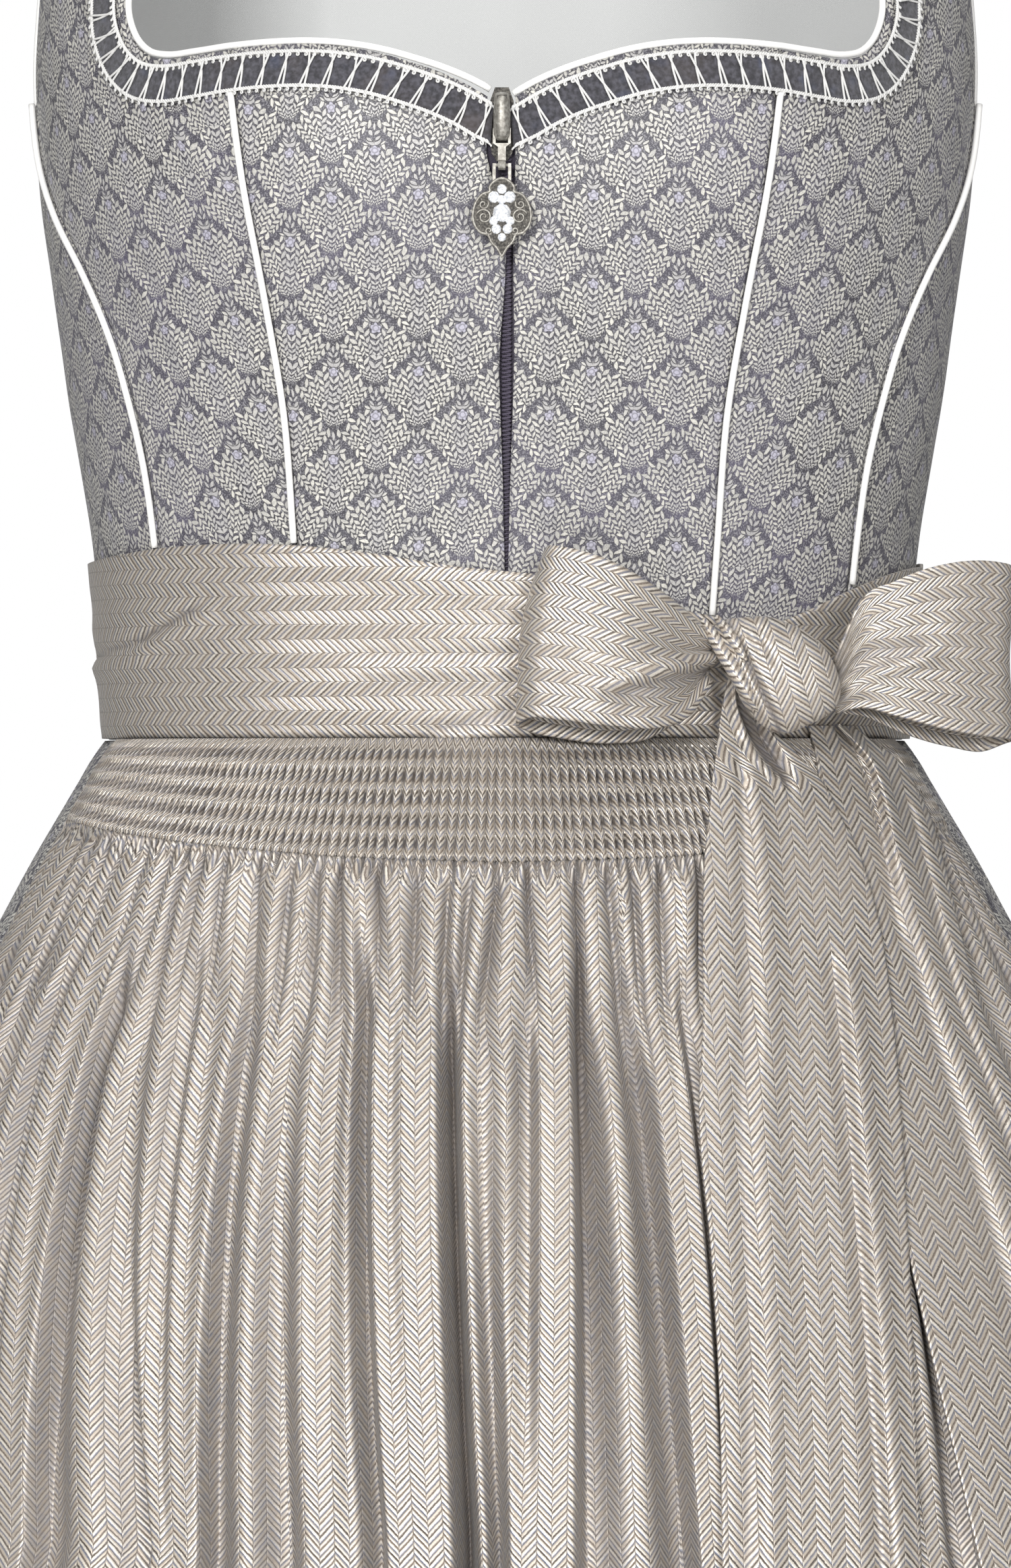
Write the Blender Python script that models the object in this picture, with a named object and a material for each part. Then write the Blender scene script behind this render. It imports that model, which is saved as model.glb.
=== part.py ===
# A sleeveless dirndl dress with its apron, belt and bow, as a hollow worn garment.
# Metres, +Z up. The front of the dress faces -Y and the wearer's left side is +X.
# The origin lies midway between the shoulder straps, at the height of their tops.
# The tables below are in millimetres, with heights measured up from the waist seam.

import math

import bmesh
import bpy
import numpy as np
from mathutils import Matrix

MM = 0.001
SHOULDER_HEIGHT = 384.0
PIECE_GAP = 0.3
SEAM_HALF_GAP = 0.15
DERIVATIVE_STEP = 1e-3

BODICE_WALL = 1.6
LINING_WALL = 1.0
LINING_GAP = 1.4
SKIRT_WALL = 2.2
APRON_WALL = 2.0
BELT_WALL = 2.0
RIBBON_WALL = 1.6
VELVET_WALL = 1.0
LACE_WALL = 1.0
PIPING_RADIUS = 1.0
EDGE_SLACK = 0.15
MINIMUM_STEP = 4.0
MINIMUM_GAP = 0.1
SEAM_END = 1.5
SEAM_CLEARANCE = 0.8

SIDE_SEAM_ANGLE = 97.0
BELT_LEVEL = 50.0
BELT_MIDDLE = 30.0
LINING_BOTTOM = 2.0


def table(columns, rows):
    values = np.array(rows, dtype=float)
    return {name: values[:, index] for index, name in enumerate(columns.split())}


# Cross-sections of the torso form: half width, depth of the front and of the back.
TORSO = table("height half_width front_depth back_depth", (
    (0.0, 126.7, 92.0, 86.0),
    (30.0, 128.6, 95.5, 88.0),
    (60.0, 131.6, 100.0, 90.0),
    (107.0, 139.3, 110.5, 96.0),
    (146.0, 144.8, 119.0, 101.0),
    (172.0, 148.4, 122.5, 103.5),
    (198.0, 150.4, 122.5, 105.0),
    (211.0, 150.8, 120.5, 105.5),
    (237.0, 149.6, 114.0, 105.0),
    (270.0, 148.5, 102.0, 102.0),
    (300.0, 147.0, 90.0, 95.0),
    (330.0, 145.0, 76.0, 84.0),
    (350.0, 142.0, 62.0, 66.0),
    (362.0, 137.0, 50.0, 50.0),
    (372.0, 124.0, 38.0, 36.0),
    (379.0, 109.0, 27.0, 26.0),
    (384.0, 95.0, 17.0, 17.0),
    (388.0, 80.0, 9.0, 9.0)))
TORSO_FULLNESS = 0.13
FULLNESS_FADE = 80.0
BUST_HEIGHT = 180.0
BUST_OFFSET = 70.0
BUST_SPREAD = 38.0
BUST_RISE = 7.0

# Cross-sections of the bell that the crests of the skirt's folds touch.
BELL = table("height half_width front_depth back_depth", (
    (-600.0, 333.0, 266.0, 281.0),
    (-500.0, 316.0, 247.0, 263.0),
    (-400.0, 294.0, 224.0, 240.0),
    (-300.0, 266.0, 197.0, 212.0),
    (-200.0, 231.0, 165.0, 178.0),
    (-100.0, 185.0, 129.0, 136.0),
    (-56.0, 161.1, 113.5, 115.0),
    (-39.0, 151.9, 107.5, 107.0),
    (-22.0, 141.9, 101.5, 98.5),
    (-13.4, 136.8, 98.5, 94.0),
    (-5.0, 131.9, 95.5, 90.0),
    (0.0, 128.2, 93.0, 87.0)))

# Seams as angles round the body, from the centre front towards the side.
FRONT_SEAM = table("height angle", (
    (0.0, 28.8), (60.0, 29.5), (103.0, 29.4), (131.0, 30.6), (164.0, 32.3), (210.3, 34.2)))
SIDE_FRONT_SEAM = table("height angle", (
    (0.0, 55.0), (60.0, 55.5), (90.0, 55.8), (108.0, 57.2), (126.0, 59.8), (146.0, 65.2),
    (165.0, 72.8), (183.0, 79.0), (203.0, 82.5)))
BACK_SEAM = table("height angle", ((0.0, 155.8), (100.0, 155.4), (200.0, 154.8), (289.0, 154.3)))

# The sweetheart neckline from the centre front to the front seam, then on to the shoulder.
NECK_CENTRE = table("angle height", (
    (1.1, 194.3), (3.4, 197.8), (6.6, 201.6), (10.6, 205.2), (14.4, 208.0), (19.3, 210.2),
    (23.3, 211.0), (28.5, 211.0), (34.2, 210.3)))
NECK_SIDE = table("angle height", (
    (34.2, 210.3), (39.2, 209.2), (43.8, 208.7), (46.9, 210.2), (49.2, 214.0), (50.6, 218.5),
    (51.6, 224.0), (51.9, 231.0), (51.9, 245.0), (51.1, 270.0), (49.6, 300.0), (47.6, 330.0),
    (45.9, 350.0), (46.3, 362.0), (51.1, 372.0), (61.2, 379.0), (72.4, 382.3), (90.0, 384.0)))
NECK_BACK = table("angle height", (
    (154.3, 289.0), (147.5, 294.5), (141.8, 305.0), (138.9, 322.0), (136.6, 350.0),
    (134.5, 362.0), (128.9, 372.0), (118.8, 379.0), (107.6, 382.3), (90.0, 384.0)))
NECK_BACK_CENTRE_HEIGHT = 285.0
ARMHOLE_FRONT = table("angle height", (
    (82.5, 203.0), (82.5, 220.0), (81.5, 237.0), (79.0, 260.0), (74.0, 290.0),
    (71.0, 320.0), (74.0, 345.0), (81.0, 357.0), (90.0, 364.0)))
ARMHOLE_UNDER = table("share height", (
    (0.0, 203.0), (0.25, 191.5), (0.5, 183.5), (0.75, 179.0), (1.0, 177.2)))
ARMHOLE_BACK = table("angle height", (
    (97.0, 177.2), (101.0, 178.6), (106.0, 186.0), (110.0, 200.0), (112.5, 222.0),
    (113.0, 245.0), (112.0, 270.0), (110.5, 300.0), (108.0, 325.0), (103.0, 347.0),
    (97.0, 358.0), (90.0, 364.0)))
LINING_TOP = table("angle height", (
    (97.0, 175.0), (106.0, 184.0), (112.0, 222.0), (120.0, 268.0), (133.0, 283.0),
    (150.0, 285.5), (180.0, 283.0)))

# Rows and columns of the panels. The shares run along a rail and crowd its corner.
SEAM_SHARES = np.linspace(0, 1, 9)
STRAP_BACK_SHARES = np.linspace(0, 1, 12)
NECK_SHARES = np.concatenate((np.linspace(0, 0.24, 6, endpoint=False), np.linspace(0.24, 1, 9)))
ARM_SHARES = np.concatenate((np.linspace(0, 0.07, 6, endpoint=False), np.linspace(0.07, 1, 9)))
SLOT_ROWS = np.array((SEAM_HALF_GAP, 27.0, 54.0, 80.0, 110.0, 137.0, 164.0, 174.0, 194.3))
FRONT_CENTRE_COLUMNS = 7
FRONT_SIDE_STEPS = 5
SIDE_COLUMNS = 5
BACK_SIDE_STEPS = 4
BACK_CENTRE_COLUMNS = 7
FRONT_SIDE_RISE = 0.42
BACK_SIDE_RISE = 2.5

# The zip: the slot between the two front panels, to the left and right of the centre front.
ZIP_SLOT = table("height left right", (
    (0.0, 0.2, 0.8), (54.0, 0.3, 0.9), (80.0, 0.9, 1.5), (110.0, 1.9, 2.5), (164.0, 2.0, 2.6),
    (174.0, 5.2, 3.0), (200.0, 5.2, 3.0)))
ZIP_CENTRE = 0.3
ZIP_TAPE_HALF_WIDTH = 6.0
ZIP_TAPE_BOTTOM = 4.0
ZIP_TAPE_TOP = 186.0
ZIP_TAPE_WALL = 1.0
ZIP_TAPE_GAP = 0.7

# The slider, its pull and the pendant, across x and up from the waist seam.
PULL_CENTRE = -1.1
SLIDER_PLATE_OUT = -0.1
SLIDER_PLATE_WALL = 1.3
SLIDER_OUTLINE = table("x height", (
    (-2.1, 197.2), (-3.6, 193.0), (-3.7, 181.0), (-3.1, 177.2), (-1.6, 174.8),
    (1.6, 174.8), (3.1, 177.2), (3.7, 181.0), (3.6, 193.0), (2.1, 197.2)))
BRIDGE_WIDTH = 3.0
BRIDGE_TOP = 194.4
BRIDGE_BOTTOM = 181.8
BRIDGE_OUT = 5.2
BRIDGE_WALL = 1.2
BRIDGE_LEG = 1.0
BRIDGE_LEG_WIDTH = 2.4
BRIDGE_LEG_INSET = 0.1
TAB_AXIS_HEIGHT = 184.0
TAB_AXIS_OUT = 3.35
TAB_WALL = 1.2
TAB_EYE_WIDTH = 5.4
TAB_WINDOW_WIDTH = 3.8
TAB_WINDOW_LENGTH = 3.5
TAB_BAR = 1.1
TAB_NECK_WIDTH = 2.4
TAB_NECK_BOTTOM = 174.6
HINGE_HEIGHT = 173.4
HINGE_EYE_RADIUS = 1.6
HINGE_EYE_WIDTH = 2.2
HINGE_BORE_RADIUS = 0.85
HINGE_BORE_WIDTH = 4.4
HINGE_SIDES = 10
LOOP_WIDTH = 5.6
LOOP_HEIGHT = 5.2
LOOP_BAR = 0.9
LOOP_PIN_RADIUS = 0.45
LOOP_FOOT_RAISE = 0.2
PENDANT_WALL = 1.9
PENDANT_OUTLINE = table("x height", (
    (0.9, 169.2), (2.7, 168.4), (4.0, 166.6), (3.9, 165.3), (6.4, 164.5), (8.4, 161.8),
    (9.2, 158.2), (8.6, 155.0), (6.6, 152.6), (4.4, 151.9), (3.4, 149.8), (1.6, 148.0),
    (0.0, 145.3)))

# Velvet ribbon and ladder lace, measured down from the neckline's edge.
VELVET_FROM_EDGE = 4.9
VELVET_WIDTH = 9.0
LACE_FROM_EDGE = 3.6
LACE_BORDER = 1.8
LACE_WINDOW_HEIGHT = 8.0
LACE_PITCH = 7.1
LACE_BAR = 2.0
LACE_MIDDLE = LACE_FROM_EDGE + LACE_BORDER + LACE_WINDOW_HEIGHT / 2
VELVET_OUT = PIECE_GAP
LACE_OUT = VELVET_OUT + VELVET_WALL + PIECE_GAP
START_SLOPE = math.tan(math.radians(25.0))
TRIM_SAMPLES = 600
TRIM_REACH = 18.0
TRIM_STEPS = 9
TRIM_START = 3.1
TRIM_END = 10.0

# Heights of the belt's edges against the sideways place on the front.
BELT_TOP = table("x height", (
    (-134.0, 55.4), (-117.0, 58.0), (-101.0, 59.8), (-70.0, 60.2), (-45.0, 57.8),
    (-16.0, 53.2), (20.0, 49.0), (60.0, 38.5), (83.0, 36.0), (90.0, 39.0), (109.0, 48.5),
    (120.0, 53.0), (134.0, 56.7)))
BELT_BOTTOM_HEIGHT = 0.6
BELT_OUT = 2.8
BELT_COLUMNS = 48

# The apron: a smocked band over soft folds, as places across the front at four heights.
APRON_EDGE_ANGLE = 75.0
APRON_INNER_OUT = 0.5
SMOCK_RIBS = 124
SMOCK_RIB_RISE = 1.1
SMOCK_TOP_RISE = 0.3
SMOCK_TOP = 0.2
GATHER_DROP = 9.0
SMOCK_DEPTH = table("angle depth", (
    (0.0, 38.1), (20.0, 36.2), (35.0, 33.3), (52.0, 29.5), (67.0, 26.0), (75.0, 25.0)))
FOLD_LEVELS = table("height crest", (
    (-575.0, 20.0), (-241.0, 16.0), (-123.0, 12.5), (-83.0, 10.0), (-60.0, 7.6), (-44.0, 5.2)))
FOLD_LOW = -241.0
FOLD_MID = -83.0
FOLD_BAND = -44.0
FOLDS = table("band_x mid_x low_x band_depth mid_depth low_depth", (
    (-140.6, -154.0, -200.0, 0.60, 0.55, 0.30),
    (-127.0, -141.5, -153.0, 0.60, 0.45, 0.35),
    (-121.0, -132.8, -143.0, 0.35, 0.55, 0.10),
    (-115.5, -122.3, -137.0, 0.45, 0.15, 0.00),
    (-107.9, -114.6, -130.4, 0.40, 0.90, 0.50),
    (-98.9, -104.0, -99.5, 0.70, 0.25, 0.50),
    (-88.7, -90.8, -93.0, 1.00, 0.45, 0.00),
    (-82.0, -83.5, -87.0, 0.70, 0.25, 0.00),
    (-70.1, -73.1, -81.1, 0.45, 0.45, 0.50),
    (-58.3, -60.3, -60.6, 0.80, 0.25, 0.45),
    (-48.0, -46.5, -46.0, 0.20, 0.30, 0.00),
    (-43.0, -40.2, -34.4, 0.95, 0.65, 0.42),
    (-35.5, -32.1, -28.0, 0.45, 0.15, 0.00),
    (-25.7, -24.6, -20.0, 0.45, 0.00, 0.00),
    (-15.0, -15.9, -10.1, 0.85, 1.00, 1.00),
    (-3.0, -7.5, -1.5, 0.30, 0.20, 0.60),
    (4.5, 6.5, 5.0, 0.35, 0.45, 0.00),
    (11.9, 13.0, 12.5, 0.25, 0.00, 0.00),
    (21.1, 21.0, 23.1, 0.95, 0.95, 0.50),
    (33.5, 35.9, 50.2, 0.50, 0.75, 0.55),
    (43.4, 44.0, 56.5, 0.25, 0.00, 0.00),
    (51.4, 51.5, 62.2, 0.90, 0.50, 0.35),
    (63.0, 62.5, 79.0, 0.60, 0.45, 0.45),
    (74.0, 77.0, 97.0, 0.70, 0.55, 0.50),
    (86.0, 90.0, 112.0, 0.50, 0.40, 0.00),
    (97.0, 104.0, 128.0, 0.75, 0.65, 0.50),
    (107.5, 116.0, 150.0, 0.45, 0.35, 0.40),
    (118.0, 130.0, 170.0, 0.70, 0.55, 0.50),
    (128.5, 143.0, 190.0, 0.45, 0.35, 0.00),
    (138.5, 154.0, 206.0, 0.60, 0.45, 0.40)))
APRON_HEIGHTS = (-83.0, -123.0, -241.0, -400.0, -575.0)
RIDGE_SHARES = (0.30, 0.70)
CLOSE_VALLEYS = 16.0
CLOSE_RIDGE_DROP = 0.8

SKIRT_FOLDS = 30
SKIRT_HEIGHTS = (-0.2, -20.0, -62.0, -123.0, -241.0, -400.0, -600.0)
SKIRT_FOLD_DEPTH = table("height depth", (
    (-600.0, 18.0), (-410.0, 15.0), (-240.0, 11.0), (-130.0, 7.5), (-60.0, 4.5), (-20.0, 2.2),
    (0.0, 0.8)))
SKIRT_FOLD_UNEVENNESS = 0.22
SKIRT_DROPS = (1.0, 0.12, 0.0)

# The two loops of the bow, from the root behind round the outer fold to the root in front.
LOOP_LEFT = table("x y top bottom lean", (
    (62.6, -92.5, 31.0, 18.0, 0.0), (56.0, -95.0, 36.0, 9.0, 0.0), (46.0, -97.5, 45.0, 1.0, 0.0),
    (32.0, -99.7, 53.0, -1.5, 0.0), (17.0, -101.8, 57.0, 0.0, 1.0), (7.5, -104.7, 57.0, 2.0, 5.0),
    (4.0, -109.2, 56.0, 4.0, 8.0), (7.0, -113.7, 58.0, 5.0, 6.0), (17.0, -117.1, 58.0, 3.2, 1.0),
    (32.0, -117.9, 53.8, 0.9, 0.0), (46.0, -113.1, 45.5, 0.9, 0.0), (56.0, -105.3, 37.5, 6.0, 0.0),
    (62.7, -98.6, 32.0, 15.5, 0.0)))
LOOP_RIGHT = table("x y top bottom lean", (
    (103.6, -79.5, 26.0, 8.0, 0.0), (110.0, -76.5, 38.0, 7.0, 0.0), (122.0, -72.5, 48.0, 2.0, 0.0),
    (138.0, -67.8, 53.0, -2.5, 0.0), (149.0, -65.5, 54.0, -3.8, 0.0), (155.0, -67.2, 54.0, -1.5, 0.0),
    (157.6, -72.0, 53.0, -0.5, 0.0), (155.6, -77.4, 54.0, 0.0, 0.0), (147.5, -82.7, 55.0, 0.8, 0.0),
    (135.0, -87.6, 53.6, 3.0, 0.0), (120.0, -90.6, 48.4, 7.0, 0.0), (109.5, -90.0, 42.0, 9.5, 0.0),
    (101.7, -90.3, 24.0, 8.0, 0.0)))
LOOP_ACROSS = 4
LOOP_STEPS = 16

KNOT_CENTRE = (82.6, -95.4, 19.5)
KNOT_HALF_SIZES = (21.3, 10.4, 14.4)
KNOT_TILT = math.radians(28.0)
KNOT_PINCH = 0.85
KNOT_SEGMENTS = 16
KNOT_RINGS = 10

# The tails' side edges, and how far each tail stands off the form behind it.
TAIL_FRONT = table("height left right out", (
    (-480.0, 66.0, 127.0, 23.6), (-360.0, 64.0, 124.0, 22.0), (-245.0, 62.2, 120.8, 20.6),
    (-190.0, 61.6, 119.7, 19.2), (-155.0, 59.8, 119.0, 18.2), (-113.0, 56.6, 117.8, 16.4),
    (-84.0, 58.2, 116.4, 14.6), (-56.0, 58.8, 113.4, 11.6), (-34.0, 59.6, 108.6, 9.2),
    (-20.0, 61.3, 101.5, 8.2), (-8.0, 63.0, 93.0, 8.0), (2.0, 65.0, 85.0, 8.4), (8.0, 68.0, 80.0, 9.6)))
TAIL_BACK = table("height left right out", (
    (-440.0, 176.0, 226.0, 25.5), (-340.0, 157.0, 214.0, 22.8), (-247.0, 139.1, 196.0, 19.4),
    (-183.0, 125.2, 180.0, 16.9), (-151.0, 118.5, 170.0, 15.9), (-107.0, 110.0, 154.9, 14.0),
    (-84.0, 106.0, 146.0, 12.3), (-60.0, 102.0, 140.5, 9.8), (-37.0, 98.5, 136.0, 7.2),
    (-20.0, 96.8, 131.0, 6.0), (-6.0, 96.0, 122.0, 5.8), (4.0, 94.0, 108.0, 4.8)))
TAIL_ACROSS = 5


# Cubic interpolation through a table's rows, with the rows' own slopes.
def eased(rows, key, column, at):
    keys, values = rows[key], rows[column]
    slopes = np.gradient(values, keys)
    at = np.asarray(at, dtype=float)
    low = np.clip(np.searchsorted(keys, at) - 1, 0, len(keys) - 2)
    width = keys[low + 1] - keys[low]
    t = np.clip((at - keys[low]) / width, 0.0, 1.0)
    return (values[low] * (1 + 2 * t) * (1 - t) ** 2
            + slopes[low] * width * t * (1 - t) ** 2
            + values[low + 1] * t * t * (3 - 2 * t)
            + slopes[low + 1] * width * t * t * (t - 1))


# Points of an oval section, given the angle from the centre front and the height.
def oval(form, angle, height, fullness):
    angle, height = np.broadcast_arrays(np.radians(angle), np.asarray(height, dtype=float))
    cosine, sine = np.cos(angle), np.sin(angle)
    depth = np.where(cosine > 0, eased(form, "height", "front_depth", height),
                     eased(form, "height", "back_depth", height))
    x = eased(form, "height", "half_width", height) * sine
    y = -depth * cosine * (1 + fullness * sine ** 2)
    return np.stack((x, y, height), axis=-1)


# The torso: ovals with two soft bust swellings on the front.
def torso(angle, height):
    points = oval(TORSO, angle, height, TORSO_FULLNESS)
    sideways = (np.abs(points[..., 0]) - BUST_OFFSET) / BUST_SPREAD
    upward = (points[..., 2] - BUST_HEIGHT) / BUST_SPREAD
    facing = np.clip(3 * np.cos(np.radians(angle)), 0, 1)
    points[..., 1] -= BUST_RISE * np.exp(-(sideways ** 2 + upward ** 2) / 2) * facing
    return points


# The bell: as full as the torso at the waist, a plain oval from the hips down.
def bell(angle, height):
    angle, height = np.broadcast_arrays(np.asarray(angle, float), np.asarray(height, float))
    return oval(BELL, angle, height, TORSO_FULLNESS * np.clip(1 + height / FULLNESS_FADE, 0, 1))


# Sideways and upward steps of a surface, by small differences.
def surface_steps(surface, angle, height):
    around = surface(angle + DERIVATIVE_STEP, height) - surface(angle - DERIVATIVE_STEP, height)
    upward = surface(angle, height + DERIVATIVE_STEP) - surface(angle, height - DERIVATIVE_STEP)
    return around / (2 * DERIVATIVE_STEP), upward / (2 * DERIVATIVE_STEP)


# Points of a surface moved out along its normals.
def lifted(surface, angle, height, out):
    angle, height = np.broadcast_arrays(np.asarray(angle, float), np.asarray(height, float))
    around, upward = surface_steps(surface, angle, height)
    normal = np.cross(around, upward)
    normal /= np.linalg.norm(normal, axis=-1, keepdims=True)
    return surface(angle, height) + normal * np.asarray(out)[..., None]


# Degrees that a length in millimetres spans round a surface.
def degrees_of(surface, angle, height, length):
    around, _ = surface_steps(surface, np.asarray(angle, float), np.asarray(height, float))
    return length / np.linalg.norm(around, axis=-1)


def side_angle(form, x, height, out=0.0):
    half_width = eased(form, "height", "half_width", height) + out
    return np.degrees(np.arcsin(np.clip(x / half_width, -1.0, 1.0)))


def finish(name, colour, roughness, metallic=0.0):
    material = bpy.data.materials.new(name)
    material.use_nodes = True
    shader = material.node_tree.nodes["Principled BSDF"]
    shader.inputs["Base Color"].default_value = (*colour, 1.0)
    shader.inputs["Roughness"].default_value = roughness
    shader.inputs["Metallic"].default_value = metallic
    material.diffuse_color = (*colour, 1.0)
    return material


def place_heights(points):
    placed = np.array(points, dtype=float)
    placed[..., 2] -= SHOULDER_HEIGHT
    return placed * MM


def add_mesh(collection, name, points, faces, material):
    mesh = bpy.data.meshes.new(name)
    mesh.from_pydata(place_heights(points).tolist(), [], faces)
    cage = bmesh.new()
    cage.from_mesh(mesh)
    bmesh.ops.recalc_face_normals(cage, faces=cage.faces)
    cage.to_mesh(mesh)
    cage.free()
    mesh.materials.append(material)
    mesh.shade_smooth()
    mesh.set_sharp_from_angle(angle=math.radians(50))
    piece = bpy.data.objects.new(name, mesh)
    collection.objects.link(piece)
    return piece


def grid_faces(rows, columns, wraps=False):
    last = columns if wraps else columns - 1
    faces = []
    for row in range(rows - 1):
        for column in range(last):
            beside = (column + 1) % columns
            faces.append((row * columns + column, row * columns + beside,
                          (row + 1) * columns + beside, (row + 1) * columns + column))
    return faces


# A wall between two sheets of points that share one set of faces, closed at every free edge.
def add_wall(collection, name, outer, inner, faces, material):
    outer, inner = outer.reshape(-1, 3), inner.reshape(-1, 3)
    count = len(outer)
    edge_faces = {}
    for face in faces:
        for start, end in zip(face, face[1:] + face[:1]):
            edge_faces.setdefault(frozenset((start, end)), []).append((start, end))
    rims = [sides[0] for sides in edge_faces.values() if len(sides) == 1]
    solid = list(faces)
    solid += [tuple(index + count for index in reversed(face)) for face in faces]
    solid += [(end, start, start + count, end + count) for start, end in rims]
    return add_mesh(collection, name, np.concatenate((outer, inner)), solid, material)


def add_grid_wall(collection, name, outer, inner, material, wraps=False):
    rows, columns = outer.shape[:2]
    return add_wall(collection, name, outer, inner, grid_faces(rows, columns, wraps), material)


# Points of a rail at given shares of its length, through a table of angles and heights.
def along(rail, shares):
    points = torso(rail["angle"], rail["height"])
    lengths = np.concatenate(([0.0], np.cumsum(np.linalg.norm(np.diff(points, axis=0), axis=1))))
    measured = dict(rail, length=lengths)
    at = np.asarray(shares) * lengths[-1]
    return eased(measured, "length", "angle", at), eased(measured, "length", "height", at)


# Narrows a patch by half the seam gap at its first and last columns.
def parted(angles, heights, first=True, last=True):
    angles = angles.copy()
    if first:
        angles[:, 0] += degrees_of(torso, angles[:, 0], heights[:, 0], SEAM_HALF_GAP)
    if last:
        angles[:, -1] -= degrees_of(torso, angles[:, -1], heights[:, -1], SEAM_HALF_GAP)
    return angles


# One panel of the bodice. A strap's last row stops half a seam gap short of the shoulder seam.
def add_panel(collection, name, angles, heights, side, material, shoulder=0.0):
    outer = lifted(torso, side * angles, heights, 0.0)
    inner = lifted(torso, side * angles, heights, -BODICE_WALL)
    for sheet in (outer, inner):
        sheet[-1, :, 1] += shoulder * SEAM_HALF_GAP
    add_grid_wall(collection, name, outer, inner, material)


# Angles and heights between two rails, row by row. Heights follow the share across to the power
# rise: above one a row leaves the first rail level, below one it meets the second rail level.
def between(first_rail, second_rail, steps, rise):
    share = np.linspace(0, 1, steps + 1)[None, :]
    first = [np.asarray(values)[:, None] for values in first_rail]
    second = [np.asarray(values)[:, None] for values in second_rail]
    angles = first[0] * (1 - share) + second[0] * share
    heights = first[1] + (second[1] - first[1]) * share ** rise
    return angles, heights


def front_centre_top():
    angles = np.linspace(NECK_CENTRE["angle"][0], NECK_CENTRE["angle"][-1], FRONT_CENTRE_COLUMNS)
    return angles, eased(NECK_CENTRE, "angle", "height", angles)


def front_centre_patch(side):
    share = np.linspace(0, 1, len(front_centre_top()[0]))[None, :]
    seam_rows = SEAM_HALF_GAP + SEAM_SHARES * (NECK_CENTRE["height"][-1] - SEAM_HALF_GAP)
    heights = SLOT_ROWS[:, None] * (1 - share) + seam_rows[:, None] * share
    heights[-1] = front_centre_top()[1]
    slot = eased(ZIP_SLOT, "height", "left" if side < 0 else "right", heights)
    start = side_angle(TORSO, slot, heights)
    end = eased(FRONT_SEAM, "height", "angle", heights)
    return start * (1 - share) + end * share, heights


def front_side_patch():
    seam_rows = SEAM_SHARES[:-1]
    neck_height = NECK_SIDE["height"][0]
    arm_height = ARMHOLE_FRONT["height"][0]
    neck = along(NECK_SIDE, NECK_SHARES)
    arm = along(ARMHOLE_FRONT, ARM_SHARES)
    inner_heights = SEAM_HALF_GAP + seam_rows * (neck_height - SEAM_HALF_GAP)
    outer_heights = SEAM_HALF_GAP + seam_rows * (arm_height - SEAM_HALF_GAP)
    inner = (np.concatenate((eased(FRONT_SEAM, "height", "angle", inner_heights), neck[0])),
             np.concatenate((inner_heights, neck[1])))
    outer = (np.concatenate((eased(SIDE_FRONT_SEAM, "height", "angle", outer_heights), arm[0])),
             np.concatenate((outer_heights, arm[1])))
    return between(inner, outer, FRONT_SIDE_STEPS, FRONT_SIDE_RISE)


def side_patch():
    share = np.linspace(0, 1, SIDE_COLUMNS)[None, :]
    up = SEAM_SHARES[:, None]
    top = eased(ARMHOLE_UNDER, "share", "height", share)
    heights = SEAM_HALF_GAP + up * (top - SEAM_HALF_GAP)
    front = eased(SIDE_FRONT_SEAM, "height", "angle", heights)
    return front * (1 - share) + SIDE_SEAM_ANGLE * share, heights


def back_side_patch():
    seam_rows = SEAM_SHARES[:-1]
    neck = along(NECK_BACK, STRAP_BACK_SHARES)
    arm = along(ARMHOLE_BACK, STRAP_BACK_SHARES)
    inner_heights = SEAM_HALF_GAP + seam_rows * (neck[1][0] - SEAM_HALF_GAP)
    outer_heights = SEAM_HALF_GAP + seam_rows * (arm[1][0] - SEAM_HALF_GAP)
    inner = (np.concatenate((eased(BACK_SEAM, "height", "angle", inner_heights), neck[0])),
             np.concatenate((inner_heights, neck[1])))
    outer = (np.concatenate((np.full(len(seam_rows), SIDE_SEAM_ANGLE), arm[0])),
             np.concatenate((outer_heights, arm[1])))
    return between(outer, inner, BACK_SIDE_STEPS, BACK_SIDE_RISE)


def back_centre_top(share):
    side_top = BACK_SEAM["height"][-1]
    return NECK_BACK_CENTRE_HEIGHT + (side_top - NECK_BACK_CENTRE_HEIGHT) * share ** 2


def back_centre_patch():
    up = SEAM_SHARES[:, None]
    share = np.linspace(-1, 1, BACK_CENTRE_COLUMNS)[None, :]
    top = back_centre_top(share)
    heights = SEAM_HALF_GAP + up * (top - SEAM_HALF_GAP)
    seam = eased(BACK_SEAM, "height", "angle", heights)
    return 180.0 - (180.0 - seam) * -share, heights


def add_bodice(collection, brocade):
    for side, word in ((-1, "left"), (1, "right")):
        angles, heights = front_centre_patch(side)
        add_panel(collection, f"bodice_front_centre_{word}", parted(angles, heights, first=False),
                  heights, side, brocade)
        for name, patch, shoulder in (("bodice_front_side", front_side_patch, -1.0),
                                      ("bodice_side", side_patch, 0.0),
                                      ("bodice_back_side", back_side_patch, 1.0)):
            angles, heights = patch()
            add_panel(collection, f"{name}_{word}", parted(angles, heights), heights, side, brocade,
                      shoulder)
    angles, heights = back_centre_patch()
    add_panel(collection, "bodice_back_centre", parted(angles, heights), heights, 1, brocade)


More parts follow.
